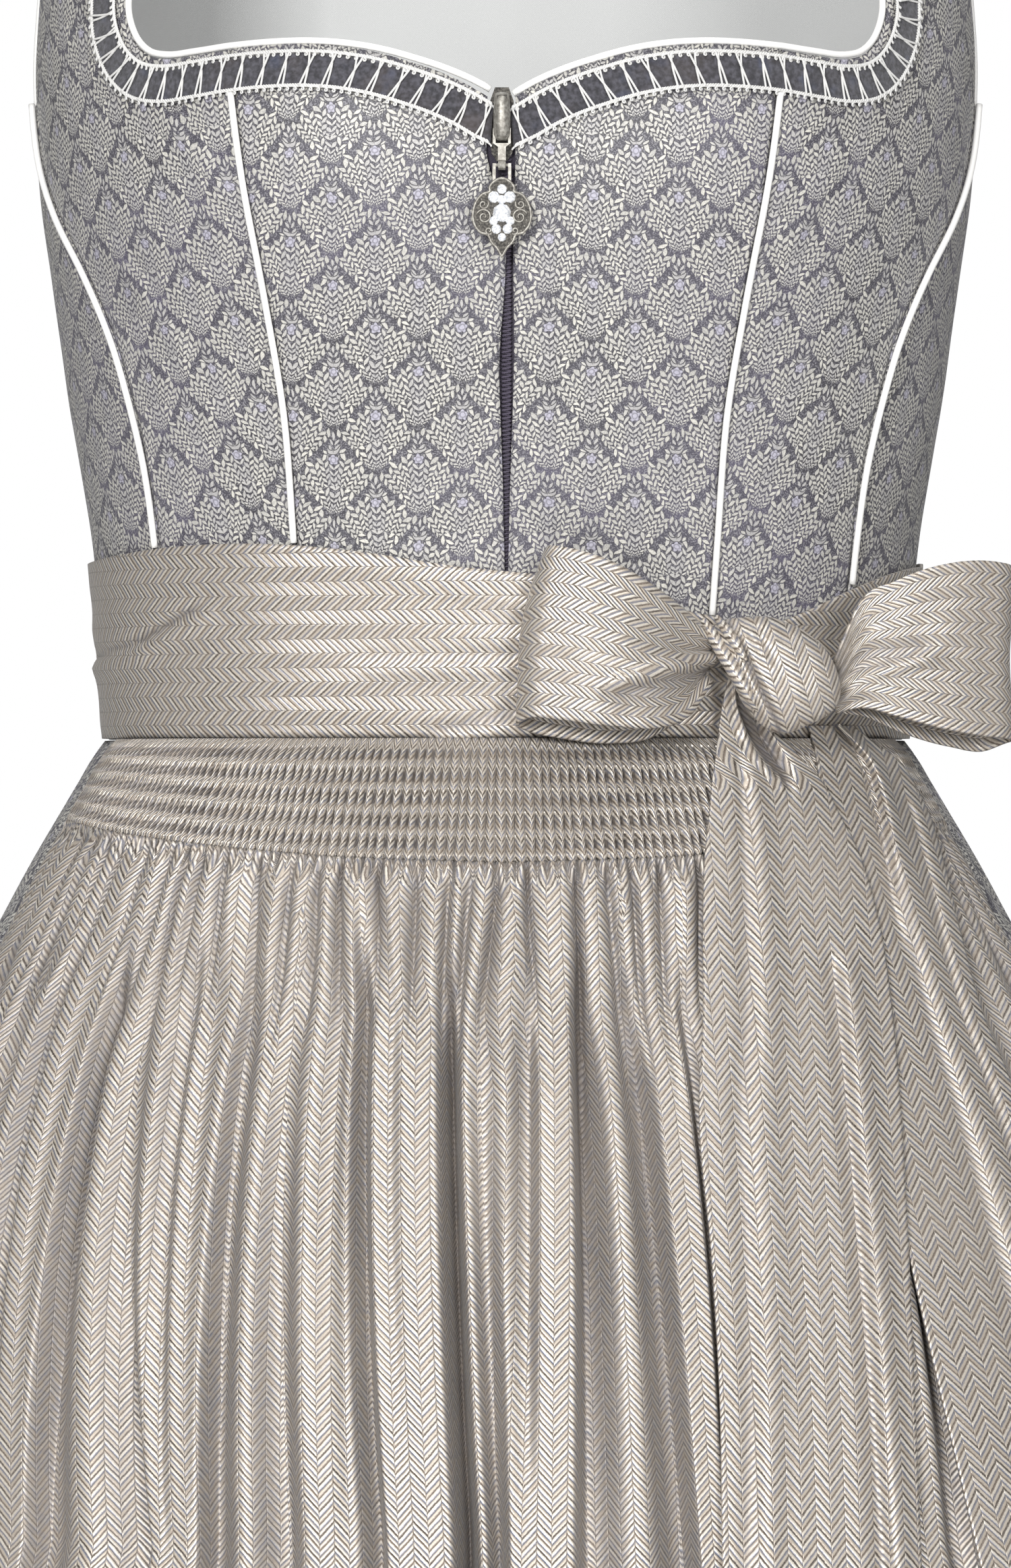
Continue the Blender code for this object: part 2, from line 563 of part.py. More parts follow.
def add_lining(collection, cotton):
    seam = BACK_SEAM["angle"][-1]
    half = np.concatenate((np.linspace(SIDE_SEAM_ANGLE, seam, 5), np.linspace(seam, 180.0, 4)[1:]))
    angles = np.concatenate((half, 360.0 - half[-2::-1]))[None, :]
    mirrored = np.where(angles > 180.0, 360.0 - angles, angles)
    top = eased(LINING_TOP, "angle", "height", mirrored)
    heights = LINING_BOTTOM + np.linspace(0, 1, 7)[:, None] * (top - LINING_BOTTOM)
    angles = np.broadcast_to(angles, heights.shape)
    near = -(BODICE_WALL + LINING_GAP)
    add_grid_wall(collection, "bodice_back_lining", lifted(torso, angles, heights, near),
                  lifted(torso, angles, heights, near - LINING_WALL), cotton)


# Walks sideways over the torso from a path, staying on the surface, in short equal steps.
def sidestep(angles, heights, turn, reach, steps):
    around, upward = surface_steps(torso, angles, heights)
    tangent = np.gradient(torso(angles, heights), axis=0)
    sideways = turn * np.cross(np.cross(around, upward), tangent)
    sideways /= np.linalg.norm(sideways, axis=-1, keepdims=True)
    walked = [(angles, heights)]
    for _ in range(steps):
        around, upward = surface_steps(torso, angles, heights)
        aa, au, uu = (np.sum(first * second, axis=-1) for first, second in
                      ((around, around), (around, upward), (upward, upward)))
        to_around = np.sum(around * sideways, axis=-1)
        to_upward = np.sum(upward * sideways, axis=-1)
        scale = reach / steps / (aa * uu - au * au)
        angles = angles + (uu * to_around - au * to_upward) * scale
        heights = heights + (aa * to_upward - au * to_around) * scale
        walked.append((angles, heights))
    return np.array([step[0] for step in walked]), np.array([step[1] for step in walked])


def neck_front_rail():
    return {name: np.concatenate((NECK_CENTRE[name][:-1], NECK_SIDE[name])) for name in NECK_SIDE}


# Strips along the neckline: points at a distance below its edge and out from the panel.
class NeckTrim:
    def __init__(self, side):
        self.side = side
        angles, heights = along(neck_front_rail(), np.linspace(0, 1, TRIM_SAMPLES))
        self.angles, self.heights = sidestep(angles, heights, -1.0, TRIM_REACH, TRIM_STEPS)
        middle = torso(*self.walk(np.arange(TRIM_SAMPLES), LACE_MIDDLE))
        start = np.argmax(middle[:, 0] > TRIM_START + side * PULL_CENTRE)
        steps = np.linalg.norm(np.diff(middle, axis=0), axis=1)
        self.lengths = np.concatenate(([0.0], np.cumsum(steps)))
        self.lengths -= self.lengths[start]
        self.length = self.lengths[-1] - TRIM_END

    def walk(self, sample, below):
        sample, below = np.broadcast_arrays(np.asarray(sample, float), np.asarray(below, float))
        step = np.clip(below / TRIM_REACH * TRIM_STEPS, 0, TRIM_STEPS - 1e-6)
        low, part = step.astype(int), step % 1
        first, rest = sample.astype(int), sample % 1
        after = np.minimum(first + 1, TRIM_SAMPLES - 1)
        return tuple((values[low, first] * (1 - rest) + values[low, after] * rest) * (1 - part)
                     + (values[low + 1, first] * (1 - rest) + values[low + 1, after] * rest) * part
                     for values in (self.angles, self.heights))

    def points(self, at, below, out):
        at, below = np.broadcast_arrays(np.asarray(at, float), np.asarray(below, float))
        fade = np.clip(1 - at / (3 * LACE_PITCH), 0, 1)
        at = at - START_SLOPE * (below - LACE_MIDDLE) * fade
        sample = np.interp(at, self.lengths, np.arange(TRIM_SAMPLES))
        angle, height = self.walk(sample, below)
        short = np.minimum(at - self.lengths[0], 0.0)
        angle = angle + degrees_of(torso, angle, height, short)
        return lifted(torso, self.side * angle, height, out)


def add_velvet(collection, velvet):
    for side, word in ((-1, "left"), (1, "right")):
        trim = NeckTrim(side)
        steps = round(trim.length / LACE_PITCH)
        at = np.linspace(0, trim.length, steps + 1)[:, None]
        below = np.array((VELVET_FROM_EDGE, VELVET_FROM_EDGE + VELVET_WIDTH))[None, :]
        add_grid_wall(collection, f"neck_velvet_{word}", trim.points(at, below, VELVET_OUT + VELVET_WALL),
                      trim.points(at, below, VELVET_OUT), velvet)


# Ladder lace: two borders joined by a bar at each pitch, open between the bars.
def add_lace(collection, thread):
    for side, word in ((-1, "left"), (1, "right")):
        trim = NeckTrim(side)
        cells = round((trim.length - LACE_BAR) / LACE_PITCH)
        bars = np.linspace(LACE_BAR / 2, trim.length - LACE_BAR / 2, cells + 1)
        edges = (LACE_FROM_EDGE, LACE_FROM_EDGE + LACE_BORDER,
                 LACE_FROM_EDGE + LACE_BORDER + LACE_WINDOW_HEIGHT,
                 LACE_FROM_EDGE + 2 * LACE_BORDER + LACE_WINDOW_HEIGHT)
        half = LACE_BAR / 2
        shifts = np.array((0.0, -half, half, -half, half, 0.0))
        below = np.array((edges[0], edges[1], edges[1], edges[2], edges[2], edges[3]))
        at = bars[:, None] + shifts[None, :]
        faces = []
        for bar in range(cells + 1):
            top, top_back, top_on, low_back, low_on, low = (bar * 6 + index for index in range(6))
            faces += [(top, top_back, top_on), (top_back, low_back, low_on, top_on),
                      (low_back, low, low_on)]
            if bar < cells:
                faces += [(top, top_on, top_back + 6, top + 6), (low_on, low, low + 6, low_back + 6)]
        add_wall(collection, f"neck_lace_{word}", trim.points(at, below[None, :], LACE_OUT + LACE_WALL),
                 trim.points(at, below[None, :], LACE_OUT), faces, thread)


def add_tube(collection, name, points, radius, material, closed=False, resolution=1):
    curve = bpy.data.curves.new(name, "CURVE")
    curve.dimensions = "3D"
    spline = curve.splines.new("POLY")
    placed = place_heights(points)
    spline.points.add(len(placed) - 1)
    for point, place in zip(spline.points, placed):
        point.co = (*place, 1.0)
    spline.use_cyclic_u = closed
    curve.bevel_depth = radius * MM
    curve.bevel_resolution = resolution
    curve.use_fill_caps = not closed
    curve.materials.append(material)
    tube = bpy.data.objects.new(name, curve)
    collection.objects.link(tube)
    return tube


# The whole neckline's edge, from one side of the zip round the back to the other.
def neck_edge():
    front_angle, front_height = front_centre_top()
    side_angles, side_heights = along(NECK_SIDE, NECK_SHARES)
    back_angle, back_height = along(NECK_BACK, STRAP_BACK_SHARES)
    share = np.linspace(-1, 0, BACK_CENTRE_COLUMNS // 2 + 1)
    centre_angle = 180.0 + share * (180.0 - BACK_SEAM["angle"][-1])
    angles = np.concatenate((front_angle[:-1], side_angles[:-1], back_angle[::-1], centre_angle[1:]))
    heights = np.concatenate((front_height[:-1], side_heights[:-1], back_height[::-1],
                              back_centre_top(share)[1:]))
    left_end = side_angle(TORSO, ZIP_SLOT["left"][-1] + MINIMUM_GAP, heights[0])
    return (np.concatenate((angles, 360.0 - angles[-2:0:-1], [360.0 - left_end])),
            np.concatenate((heights, heights[-2:0:-1], [eased(NECK_CENTRE, "angle", "height", left_end)])))


def armhole_edge():
    front_angle, front_height = along(ARMHOLE_FRONT, ARM_SHARES)
    under_angles, under_heights = side_patch()
    back_angle, back_height = along(ARMHOLE_BACK, STRAP_BACK_SHARES)
    angles = np.concatenate((under_angles[-1][:-1], back_angle, front_angle[::-1][1:-1]))
    heights = np.concatenate((under_heights[-1][:-1], back_height, front_height[::-1][1:-1]))
    return angles, heights


# Piping beyond a free edge: its centre is one radius and one gap past the rim, at mid wall.
def edge_piping_points(angles, heights):
    reach = PIPING_RADIUS + PIECE_GAP + EDGE_SLACK
    walked_angles, walked_heights = sidestep(angles, heights, 1.0, reach, 1)
    return lifted(torso, walked_angles[-1], walked_heights[-1], -BODICE_WALL / 2)


# Piping over a seam: the panel's own seam points moved out, between two heights.
def seam_piping_points(seam, bottom, top, side):
    rows = SEAM_HALF_GAP + SEAM_SHARES * (seam["height"][-1] - SEAM_HALF_GAP)
    points = lifted(torso, side * eased(seam, "height", "angle", rows), rows,
                    PIPING_RADIUS + PIECE_GAP + EDGE_SLACK)
    inside = rows[(rows > bottom + MINIMUM_STEP) & (rows < top - MINIMUM_STEP)]
    heights = np.concatenate(([bottom], inside, [top]))
    return np.stack([np.interp(heights, rows, points[:, axis]) for axis in range(3)], axis=1)


def add_piping(collection, satin):
    neck_angles, neck_heights = neck_edge()
    add_tube(collection, "piping_neck", edge_piping_points(neck_angles, neck_heights),
             PIPING_RADIUS, satin)
    trim_bottom = LACE_FROM_EDGE + 2 * LACE_BORDER + LACE_WINDOW_HEIGHT + PIPING_RADIUS + PIECE_GAP
    seams = (("piping_front_seam", FRONT_SEAM, NECK_SIDE["height"][0] - trim_bottom),
             ("piping_side_seam", SIDE_FRONT_SEAM, ARMHOLE_UNDER["height"][0] - SEAM_END))
    for side, word in ((-1, "left"), (1, "right")):
        angles, heights = armhole_edge()
        points = edge_piping_points(angles, heights)
        points[:, 0] *= side
        add_tube(collection, f"piping_armhole_{word}", points, PIPING_RADIUS, satin, closed=True)
        for name, seam, top in seams:
            x = side * torso(eased(seam, "height", "angle", BELT_LEVEL), BELT_LEVEL)[0]
            bottom = float(eased(BELT_TOP, "x", "height", x)) + SEAM_CLEARANCE
            add_tube(collection, f"{name}_{word}", seam_piping_points(seam, bottom, top, side),
                     PIPING_RADIUS, satin)
        back_bottom = BELT_TOP["height"][-1] + SEAM_CLEARANCE
        add_tube(collection, f"piping_back_seam_{word}",
                 seam_piping_points(BACK_SEAM, back_bottom, BACK_SEAM["height"][-1] - SEAM_END, side),
                 PIPING_RADIUS, satin)


# Flat plates of the zip, standing across the front: outlines given in x and height.
def add_plate(collection, name, outlines, out, wall, material):
    curve = bpy.data.curves.new(name, "CURVE")
    curve.dimensions = "2D"
    curve.fill_mode = "BOTH"
    curve.extrude = wall / 2 * MM
    for outline in outlines:
        spline = curve.splines.new("POLY")
        spline.points.add(len(outline) - 1)
        for point, (x, height) in zip(spline.points, outline):
            point.co = (x * MM, (height - SHOULDER_HEIGHT) * MM, 0.0, 1.0)
        spline.use_cyclic_u = True
    plate = bpy.data.objects.new(name, curve)
    plate.rotation_euler = (math.radians(90), 0.0, 0.0)
    plate.location = (PULL_CENTRE * MM, -(ZIP_FRONT + out) * MM, 0.0)
    collection.objects.link(plate)
    curve.materials.append(material)
    return as_mesh(plate)


# A curve's solid as a mesh with its caps welded.
def as_mesh(curve_object):
    bpy.context.view_layer.update()
    graph = bpy.context.evaluated_depsgraph_get()
    mesh = bpy.data.meshes.new_from_object(curve_object.evaluated_get(graph))
    cage = bmesh.new()
    cage.from_mesh(mesh)
    bmesh.ops.remove_doubles(cage, verts=cage.verts, dist=1e-6)
    cage.to_mesh(mesh)
    cage.free()
    name = curve_object.name
    collection = curve_object.users_collection[0]
    matrix = curve_object.matrix_world.copy()
    bpy.data.objects.remove(curve_object)
    piece = bpy.data.objects.new(name, mesh)
    piece.matrix_world = matrix
    collection.objects.link(piece)
    return piece


def box(collection, name, centre, size):
    bpy.ops.mesh.primitive_cube_add(size=1.0)
    cube = bpy.context.active_object
    cube.name = name
    cube.data.transform(Matrix.Diagonal((size[0] * MM, size[1] * MM, size[2] * MM, 1.0)))
    cube.location = (centre[0] * MM, centre[1] * MM, (centre[2] - SHOULDER_HEIGHT) * MM)
    move_to(cube, collection)
    return cube


def pin(collection, name, centre, radius, width, sides):
    bpy.ops.mesh.primitive_cylinder_add(vertices=sides, radius=radius * MM, depth=width * MM)
    rod = bpy.context.active_object
    rod.name = name
    rod.rotation_euler = (0.0, math.radians(90), 0.0)
    rod.location = (centre[0] * MM, centre[1] * MM, (centre[2] - SHOULDER_HEIGHT) * MM)
    move_to(rod, collection)
    return rod


def move_to(piece, collection):
    for other in list(piece.users_collection):
        other.objects.unlink(piece)
    collection.objects.link(piece)


def combine(piece, tools, operation):
    for tool in tools:
        modifier = piece.modifiers.new(operation.lower(), "BOOLEAN")
        modifier.operation = operation
        modifier.solver = "EXACT"
        modifier.object = tool
        tool.hide_render = True
        tool.display_type = "WIRE"


ZIP_FRONT = float(-torso(0.0, 186.0)[1])


def add_zip(collection, cutters, tape_cloth, metal):
    rows = np.linspace(ZIP_TAPE_BOTTOM, ZIP_TAPE_TOP, 9)[:, None]
    x = np.linspace(-ZIP_TAPE_HALF_WIDTH, ZIP_TAPE_HALF_WIDTH, 3)[None, :]
    angles = side_angle(TORSO, x + ZIP_CENTRE, rows)
    heights = np.broadcast_to(rows, angles.shape)
    near = -(BODICE_WALL + ZIP_TAPE_GAP)
    add_grid_wall(collection, "zip_tape", lifted(torso, angles, heights, near),
                  lifted(torso, angles, heights, near - ZIP_TAPE_WALL), tape_cloth)
    add_slider(collection, cutters, metal)
    add_pull_tab(collection, cutters, metal)
    add_pendant(collection, cutters, metal)


def outline_of(rows):
    return list(zip(rows["x"], rows["height"]))


def add_slider(collection, cutters, metal):
    plate_out = SLIDER_PLATE_OUT - SLIDER_PLATE_WALL / 2
    slider = add_plate(collection, "zip_slider", [outline_of(SLIDER_OUTLINE)], plate_out,
                       SLIDER_PLATE_WALL, metal)
    middle = (BRIDGE_TOP + BRIDGE_BOTTOM) / 2
    bar = box(cutters, "bridge_bar", (PULL_CENTRE, -(ZIP_FRONT + BRIDGE_OUT), middle),
              (BRIDGE_WIDTH, BRIDGE_WALL, BRIDGE_TOP - BRIDGE_BOTTOM))
    leg_inner = SLIDER_PLATE_OUT - SLIDER_PLATE_WALL / 2
    leg_out = (leg_inner + BRIDGE_OUT) / 2
    legs = [box(cutters, f"bridge_leg_{word}", (PULL_CENTRE, -(ZIP_FRONT + leg_out), height),
                (BRIDGE_LEG_WIDTH, BRIDGE_OUT - leg_inner, BRIDGE_LEG))
            for word, height in (("top", BRIDGE_TOP - BRIDGE_LEG / 2 - BRIDGE_LEG_INSET),
                                 ("bottom", BRIDGE_BOTTOM + BRIDGE_LEG / 2 + BRIDGE_LEG_INSET))]
    combine(slider, [bar, *legs], "UNION")


# The pull tab: an eye over the bridge, a neck, and a bored eye that the pendant hangs in.
def add_pull_tab(collection, cutters, metal):
    top = TAB_AXIS_HEIGHT + TAB_BAR / 2
    window_top = top - TAB_BAR
    window_bottom = window_top - TAB_WINDOW_LENGTH
    bottom = window_bottom - TAB_BAR
    half, window_half, neck = TAB_EYE_WIDTH / 2, TAB_WINDOW_WIDTH / 2, TAB_NECK_WIDTH / 2
    outline = [(-half, top), (-half, window_bottom), (-neck, bottom), (-neck, TAB_NECK_BOTTOM),
               (neck, TAB_NECK_BOTTOM), (neck, bottom), (half, window_bottom), (half, top)]
    window = [(-window_half, window_top), (window_half, window_top),
              (window_half, window_bottom), (-window_half, window_bottom)]
    tab = add_plate(collection, "zip_pull_tab", [outline, window], TAB_AXIS_OUT, TAB_WALL, metal)
    centre = (PULL_CENTRE, -(ZIP_FRONT + TAB_AXIS_OUT), HINGE_HEIGHT)
    eye = pin(cutters, "tab_eye", centre, HINGE_EYE_RADIUS, HINGE_EYE_WIDTH, HINGE_SIDES)
    bore = pin(cutters, "tab_bore", centre, HINGE_BORE_RADIUS, HINGE_BORE_WIDTH, HINGE_SIDES)
    combine(tab, [eye], "UNION")
    combine(tab, [bore], "DIFFERENCE")


def add_pendant(collection, cutters, metal):
    right = outline_of(PENDANT_OUTLINE)
    outline = right + [(-x, height) for x, height in reversed(right[:-1])]
    pendant = add_plate(collection, "zip_pendant", [outline], TAB_AXIS_OUT, PENDANT_WALL, metal)
    y = -(ZIP_FRONT + TAB_AXIS_OUT)
    side_x = (LOOP_WIDTH - LOOP_BAR) / 2
    side_height = HINGE_HEIGHT - LOOP_HEIGHT / 2
    bars = [box(cutters, f"loop_side_{word}", (PULL_CENTRE + sign * side_x, y, side_height),
                (LOOP_BAR, LOOP_BAR, LOOP_HEIGHT + LOOP_BAR))
            for sign, word in ((-1, "left"), (1, "right"))]
    bars.append(pin(cutters, "loop_pin", (PULL_CENTRE, y, HINGE_HEIGHT), LOOP_PIN_RADIUS,
                    LOOP_WIDTH - LOOP_BAR, HINGE_SIDES))
    bars.append(box(cutters, "loop_foot", (PULL_CENTRE, y, HINGE_HEIGHT - LOOP_HEIGHT + LOOP_FOOT_RAISE),
                    (LOOP_WIDTH, LOOP_BAR, LOOP_BAR)))
    combine(pendant, bars, "UNION")


# The belt round the waist, a closed ring whose top edge dips towards the bow.
def add_belt(collection, satin):
    angles = np.arange(BELT_COLUMNS) * 360.0 / BELT_COLUMNS
    x = torso(angles, BELT_MIDDLE)[:, 0]
    front = (angles <= 90.0) | (angles >= 270.0)
    side_top = np.where(x < 0, BELT_TOP["height"][0], BELT_TOP["height"][-1])
    top = np.where(front, eased(BELT_TOP, "x", "height", x), side_top)
    share = np.array((0.0, 0.5, 1.0))[:, None]
    heights = BELT_BOTTOM_HEIGHT + share * (top - BELT_BOTTOM_HEIGHT)[None, :]
    angles = np.broadcast_to(angles, heights.shape)
    add_grid_wall(collection, "apron_belt", lifted(torso, angles, heights, BELT_OUT),
                  lifted(torso, angles, heights, BELT_OUT - BELT_WALL), satin, wraps=True)


# The skirt: folds cut inwards from the bell, sharp valleys between broad crests.
def add_skirt(collection, brocade):
    fold = np.arange(SKIRT_FOLDS)
    width = 360.0 / SKIRT_FOLDS
    unevenness = SKIRT_FOLD_UNEVENNESS * width * np.sin(2.3 * fold + 0.7 * np.sin(1.9 * fold))
    valley = fold * width + unevenness
    following = np.append(valley[1:], valley[0] + 360.0)
    near, far = (valley + share * (following - valley) for share in RIDGE_SHARES)
    columns = np.stack((valley, near, far), axis=1).ravel()
    drop = np.tile(SKIRT_DROPS, SKIRT_FOLDS)
    heights = np.broadcast_to(np.array(SKIRT_HEIGHTS)[:, None], (len(SKIRT_HEIGHTS), len(columns)))
    angles = np.broadcast_to(columns, heights.shape)
    depth = eased(SKIRT_FOLD_DEPTH, "height", "depth", heights) * drop[None, :]
    outer = pushed(bell(angles, heights), -depth)
    inner = pushed(bell(angles, heights), -depth - SKIRT_WALL)
    add_grid_wall(collection, "skirt", outer, inner, brocade, wraps=True)


# Points moved level away from the upright axis.
def pushed(points, out):
    level = points.copy()
    level[..., 2] = 0.0
    distance = np.linalg.norm(level, axis=-1, keepdims=True)
    return points + level / distance * np.asarray(out)[..., None]


# Joins two rows of points, which may differ in number, by triangles in order across.
def joined_rows(first, second, first_places, second_places):
    faces = []
    a = b = 0
    while a < len(first) - 1 or b < len(second) - 1:
        ahead_a = first_places[a + 1] if a < len(first) - 1 else math.inf
        ahead_b = second_places[b + 1] if b < len(second) - 1 else math.inf
        if ahead_a <= ahead_b:
            faces.append((first[a], first[a + 1], second[b]))
            a += 1
        else:
            faces.append((first[a], second[b + 1], second[b]))
            b += 1
    return faces


# Fold lines of the apron at one height: angles of the valleys and how deep each one is.
def fold_lines(height):
    level = np.array((FOLD_LOW, FOLD_MID, FOLD_BAND))
    angle = np.stack([side_angle(BELL, FOLDS[name], at) for name, at in
                      zip(("low_x", "mid_x", "band_x"), level)])
    depth = np.stack([FOLDS[name] for name in ("low_depth", "mid_depth", "band_depth")])
    at = np.clip(height, FOLD_LOW, FOLD_BAND)
    angles = [np.interp(at, level, angle[:, index]) for index in range(angle.shape[1])]
    depths = [np.interp(at, level, depth[:, index]) for index in range(depth.shape[1])]
    return np.array(angles), np.array(depths)


# One row of the apron: a valley column, then two ridge columns, across the front.
def apron_row(height):
    valleys, depths = fold_lines(height)
    valleys = np.concatenate(([-APRON_EDGE_ANGLE], valleys, [APRON_EDGE_ANGLE]))
    depths = np.concatenate(([1.0], depths, [1.0]))
    widths = np.radians(np.diff(valleys)) * eased(BELL, "height", "half_width", height)
    shallow = np.minimum(depths[:-1], depths[1:]) * CLOSE_RIDGE_DROP
    lowered = shallow * np.clip(1 - widths / CLOSE_VALLEYS, 0, 1)
    angles, drops = [], []
    for index, (start, end) in enumerate(zip(valleys, valleys[1:])):
        angles += [start] + [start + share * (end - start) for share in RIDGE_SHARES]
        drops += [depths[index], lowered[index], lowered[index]]
    angles.append(valleys[-1])
    drops.append(depths[-1])
    return np.array(angles), np.array(drops)


def apron_out(height, drops):
    crest = eased(FOLD_LEVELS, "height", "crest", height)
    valley = APRON_INNER_OUT + APRON_WALL
    return crest - drops * (crest - valley)


# Heights across the smocked band, from its top edge (share 0) to its bottom (share 1).
def smock_row_heights(angles, share):
    return SMOCK_TOP - share * eased(SMOCK_DEPTH, "angle", "depth", np.abs(angles))


# The apron panel: ribs of smocking over a plain inside, then folds through the whole wall.
def add_apron(collection, satin):
    rib_angles = np.linspace(-APRON_EDGE_ANGLE, APRON_EDGE_ANGLE, 2 * SMOCK_RIBS + 1)
    is_crest = np.arange(len(rib_angles)) % 2
    band_angles, band_drops = apron_row(FOLD_BAND)
    smock_shares = (0.0, 1.0)
    outer_rows, inner_rows = [], []
    for share in smock_shares:
        rib_heights = smock_row_heights(rib_angles, share)
        rise = SMOCK_RIB_RISE * (SMOCK_TOP_RISE + (1 - SMOCK_TOP_RISE) * share)
        rib_out = APRON_INNER_OUT + APRON_WALL + rise * is_crest
        outer_rows.append((rib_angles, pushed(bell(rib_angles, rib_heights), rib_out)))
        band_heights = smock_row_heights(band_angles, share)
        inner_rows.append((band_angles, pushed(bell(band_angles, band_heights), APRON_INNER_OUT)))
    gather = smock_row_heights(band_angles, 1.0) - GATHER_DROP
    for angles, height in [(band_angles, gather)] + [(apron_row(at)[0], at) for at in APRON_HEIGHTS]:
        drops = band_drops if np.ndim(height) else apron_row(height)[1]
        out = apron_out(height, drops)
        outer_rows.append((angles, pushed(bell(angles, height), out)))
        inner_rows.append((angles, pushed(bell(angles, height), out - APRON_WALL)))
    points, faces = [], []
    indices = []
    for rows in (outer_rows, inner_rows):
        indices.append([])
        for _, row_points in rows:
            indices[-1].append(list(range(len(points), len(points) + len(row_points))))
            points.extend(row_points)
    for rows, row_indices in zip((outer_rows, inner_rows), indices):
        for upper in range(len(rows) - 1):
            faces += joined_rows(row_indices[upper], row_indices[upper + 1],
                                 rows[upper][0], rows[upper + 1][0])
    outer_indices, inner_indices = indices
    for end in (0, -1):
        for upper in range(len(outer_rows) - 1):
            faces.append((outer_indices[upper][end], outer_indices[upper + 1][end],
                          inner_indices[upper + 1][end], inner_indices[upper][end]))
    for row in (0, -1):
        faces += joined_rows(outer_indices[row], inner_indices[row],
                             outer_rows[row][0], inner_rows[row][0])
    add_mesh(collection, "apron_panel", np.array(points), faces, satin)


# A bow loop: the ribbon's middle line seen from above, with its two edges' heights.
def add_loop(collection, name, rows, satin):
    line = np.stack((rows["x"], rows["y"]), axis=1)
    lengths = np.concatenate(([0.0], np.cumsum(np.linalg.norm(np.diff(line, axis=0), axis=1))))
    measured = dict(rows, length=lengths)
    at = np.linspace(0, lengths[-1], LOOP_STEPS + 1)
    values = {column: eased(measured, "length", column, at) for column in
              ("x", "y", "top", "bottom", "lean")}
    across = np.linspace(0, 1, LOOP_ACROSS + 1)[None, :]
    x = values["x"][:, None] + values["lean"][:, None] * across ** 2
    y = np.broadcast_to(values["y"][:, None], x.shape)
    height = values["bottom"][:, None] + across * (values["top"] - values["bottom"])[:, None]
    step_x, step_y = np.gradient(values["x"]), np.gradient(values["y"])
    length = np.hypot(step_x, step_y)
    normal = np.stack((step_y / length, -step_x / length, np.zeros_like(length)), axis=-1)[:, None, :]
    middle = np.stack((x, y, height), axis=-1)
    add_grid_wall(collection, name, middle + normal * RIBBON_WALL / 2,
                  middle - normal * RIBBON_WALL / 2, satin)


# The knot: a rounded wad of ribbon, tilted down towards the wearer's left.
def add_knot(collection, satin):
    bpy.ops.mesh.primitive_uv_sphere_add(segments=KNOT_SEGMENTS, ring_count=KNOT_RINGS, radius=1.0)
    knot = bpy.context.active_object
    knot.name = "bow_knot"
    knot.data.name = "bow_knot"
    cosine, sine = math.cos(KNOT_TILT), math.sin(KNOT_TILT)
    for vertex in knot.data.vertices:
        x, y, z = (math.copysign(abs(value) ** KNOT_PINCH, value) for value in vertex.co)
        size = max(1.0, math.sqrt(x * x + y * y + z * z))
        x, y, z = (value / size * half for value, half in zip((x, y, z), KNOT_HALF_SIZES))
        vertex.co = ((x * cosine + z * sine) * MM, y * MM, (z * cosine - x * sine) * MM)
    knot.location = (KNOT_CENTRE[0] * MM, KNOT_CENTRE[1] * MM,
                     (KNOT_CENTRE[2] - SHOULDER_HEIGHT) * MM)
    knot.data.materials.append(satin)
    knot.data.shade_smooth()
    move_to(knot, collection)


# A hanging tail: rows across between its edges, out from the torso above and the bell below.
def add_tail(collection, name, rows, satin):
    heights = rows["height"][::-1][:, None]
    share = np.linspace(0, 1, TAIL_ACROSS + 1)[None, :]
    x = rows["left"][::-1][:, None] * (1 - share) + rows["right"][::-1][:, None] * share
    out = np.broadcast_to(rows["out"][::-1][:, None], x.shape)
    heights = np.broadcast_to(heights, x.shape)
    outer = hung(x, heights, out)
    inner = hung(x, heights, out - RIBBON_WALL)
    add_grid_wall(collection, name, outer, inner, satin)


# Points at a sideways place, out from the torso above the waist seam and the bell below it.
def hung(x, height, out):
    above = pushed(torso(side_angle(TORSO, x, height, out), height), out)
    below = pushed(bell(side_angle(BELL, x, height, out), height), out)
    return np.where(height[..., None] > 0.0, above, below)


def build():
    for old in list(bpy.data.objects):
        bpy.data.objects.remove(old)
    scene = bpy.context.scene
    dress = bpy.data.collections.new("dirndl")
    cutters = bpy.data.collections.new("cutters")
    scene.collection.children.link(dress)
    scene.collection.children.link(cutters)
    brocade = finish("brocade", (0.19, 0.18, 0.22), 0.5)
    herringbone = finish("herringbone_satin", (0.42, 0.39, 0.35), 0.35)
    satin = finish("white_satin", (0.86, 0.86, 0.85), 0.3)
    velvet = finish("grey_velvet", (0.07, 0.07, 0.085), 0.9)
    thread = finish("white_thread", (0.85, 0.85, 0.84), 0.7)
    cotton = finish("lining_cotton", (0.68, 0.69, 0.69), 0.85)
    tape_cloth = finish("zip_tape", (0.05, 0.045, 0.07), 0.8)
    metal = finish("old_silver", (0.55, 0.53, 0.48), 0.35, 1.0)
    add_bodice(dress, brocade)
    add_lining(dress, cotton)
    add_piping(dress, satin)
    add_velvet(dress, velvet)
    add_lace(dress, thread)
    add_zip(dress, cutters, tape_cloth, metal)
    add_belt(dress, herringbone)
    add_skirt(dress, brocade)
    add_apron(dress, herringbone)
    add_loop(dress, "bow_loop_left", LOOP_LEFT, herringbone)
    add_loop(dress, "bow_loop_right", LOOP_RIGHT, herringbone)
    add_knot(dress, herringbone)
    add_tail(dress, "bow_tail_front", TAIL_FRONT, herringbone)
    add_tail(dress, "bow_tail_back", TAIL_BACK, herringbone)


build()
